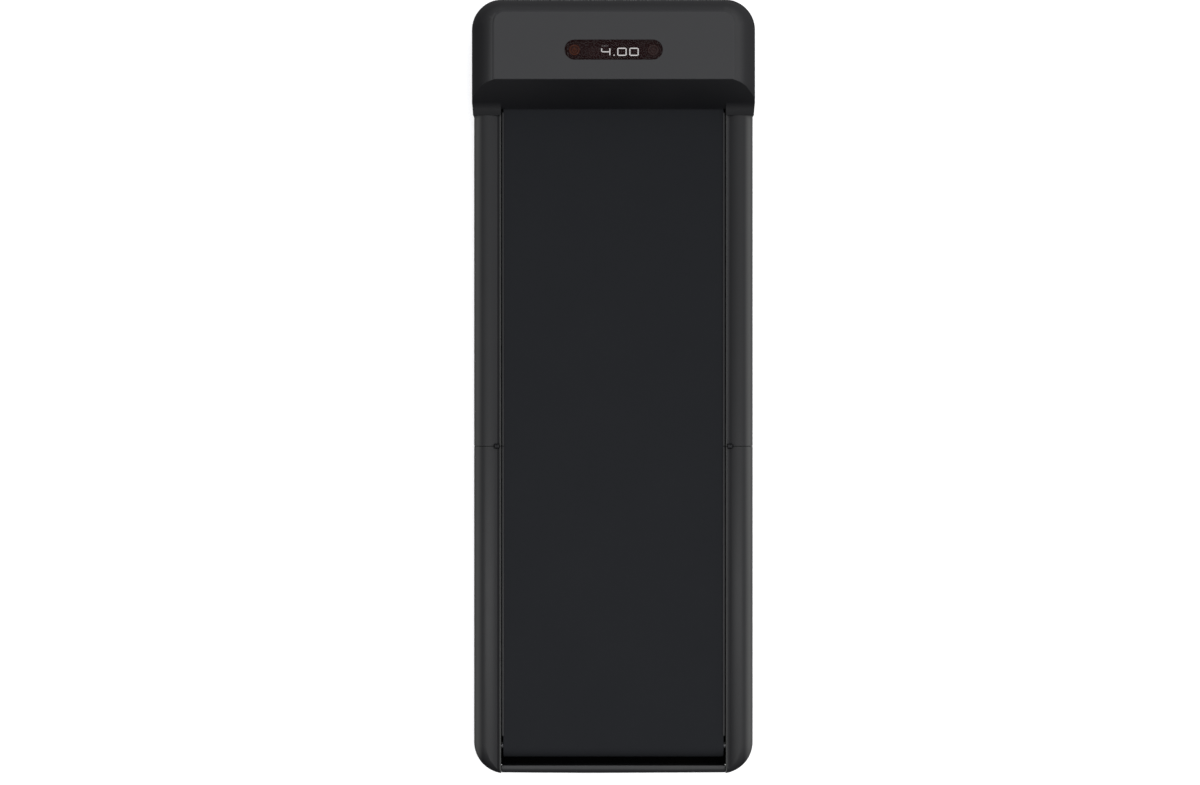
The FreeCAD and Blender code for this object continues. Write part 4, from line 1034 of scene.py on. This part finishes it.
def belt_strand(name, stations, thick, half, node):
    """One strand, with its stations closer together over the reach each side of the seam between the deck halves.
    """
    piece = in_scene(name, belt_mesh(name, stations, thick, half))
    piece.data.materials.append(LOOKS["belt_rubber"])
    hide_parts(node)
    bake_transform(piece)


def running_belt():
    """The walking strand, with its half turn round each roller, and the return strand below."""
    thick, radius, middle, front, rear = belt_path()
    half = span("belt_front")[1].x
    top = arc_stations(front, middle, radius, -math.pi / 2)
    top += [(y, middle + radius, 0.0, 1.0) for y in strand_stations(front, rear)[1:-1]]
    top += arc_stations(rear, middle, radius, math.pi / 2)
    low = [(y, middle - radius, 0.0, -1.0) for y in strand_stations(rear, front)]
    belt_strand("belt_walking_strand", top, thick, half, "belt_front")
    belt_strand("belt_return_strand", low, thick, half, "belt_rear")


# Studio

def light(name, place, size, power):
    """A soft box at a place, turned to the middle of the floor."""
    box = bpy.data.lights.new(name, "AREA")
    box.shape = "RECTANGLE"
    box.size, box.size_y = size
    box.energy = power
    hung = in_scene(name, box)
    hung.location = place
    hung.rotation_euler = (Vector((0, 0, 0)) - Vector(place)).to_track_quat("-Z", "Y").to_euler()
    return hung


def sky():
    """Soft tent: bright overhead, dimmer towards the horizon, brighter on the right and front."""
    world = bpy.data.worlds.new("studio")
    bpy.context.scene.world = world
    world.use_nodes = True
    tree = world.node_tree
    coords = add(tree, "ShaderNodeTexCoord")
    split = add(tree, "ShaderNodeSeparateXYZ")
    wire(tree, coords.outputs["Generated"], split.inputs[0])
    ramp = add(tree, "ShaderNodeValToRGB")
    height = math_node(tree, "MULTIPLY", math_node(tree, "ADD", split.outputs["Z"], 1.0), 0.5)
    wire(tree, height, ramp.inputs[0])
    stops = ramp.color_ramp.elements
    stops[0].position, stops[0].color = 0.0, SKY[0][1] + (1,)
    stops[1].position, stops[1].color = 1.0, SKY[-1][1] + (1,)
    for up, colour in SKY[1:-1]:
        stop = stops.new((up + 1) / 2)
        stop.color = colour + (1,)
    sideways = math_node(tree, "MULTIPLY", split.outputs["X"], SKY_RIGHT)
    onward = math_node(tree, "MULTIPLY", split.outputs["Y"], SKY_FRONT)
    lean = math_node(tree, "ADD", math_node(tree, "ADD", sideways, onward), 1.0)
    lean = math_node(tree, "MAXIMUM", lean, SKY_LEAST)
    wire(tree, ramp.outputs["Color"], tree.nodes["Background"].inputs["Color"])
    wire(tree, math_node(tree, "MULTIPLY", lean, SKY_POWER), tree.nodes["Background"].inputs["Strength"])


def pale_floor():
    """A wide pale floor with a little glow. It gives the treadmill no light, reflection or shadow."""
    h = FLOOR_HALF
    mesh = bpy.data.meshes.new("floor")
    mesh.from_pydata([(-h, -h, 0), (h, -h, 0), (h, h, 0), (-h, h, 0)], [], [(0, 1, 2, 3)])
    floor = in_scene("floor", mesh)
    material, tree, shader, coords = start_material("pale_floor")
    speck = noise(tree, coords.outputs["Object"], 60.0)
    paint = blend_colour(tree, speck, (0.88, 0.88, 0.88), (0.91, 0.91, 0.91))
    glow = blend_colour(tree, speck, (0.98, 0.98, 0.98), (1.0, 1.0, 1.0))
    wire(tree, paint, shader.inputs["Base Color"])
    wire(tree, ranged(tree, speck, 0.75, 0.85), shader.inputs["Roughness"])
    wire(tree, glow, shader.inputs["Emission Color"])
    shader.inputs["Emission Strength"].default_value = FLOOR_GLOW
    mesh.materials.append(material)
    floor.location.z = CAD_BOX[0][2]
    floor.visible_glossy = False
    floor.visible_diffuse = False
    floor.visible_shadow = False


def camera():
    """The camera, high above the belt and looking straight down."""
    body = bpy.data.cameras.new("camera")
    body.lens = CAMERA_LENS
    body.sensor_width = 36.0
    body.clip_end = 60.0
    hung = in_scene("camera", body)
    hung.location = CAMERA_PLACE
    bpy.context.scene.camera = hung


def studio():
    """Sky, soft boxes, floor and camera."""
    bpy.context.scene.view_settings.view_transform = "Standard"
    sky()
    light("overhead", *OVERHEAD)
    strip = light("strip", *STRIP)
    strip.rotation_euler = (0.0, 0.0, 0.0)
    light("right_fill", *RIGHT_FILL)
    pale_floor()
    camera()


studio()
dress_nodes()
rubber_feet()
seam_flap()
display_print()
screws()
weld_runs()
running_belt()

bpy.context.view_layer.update()
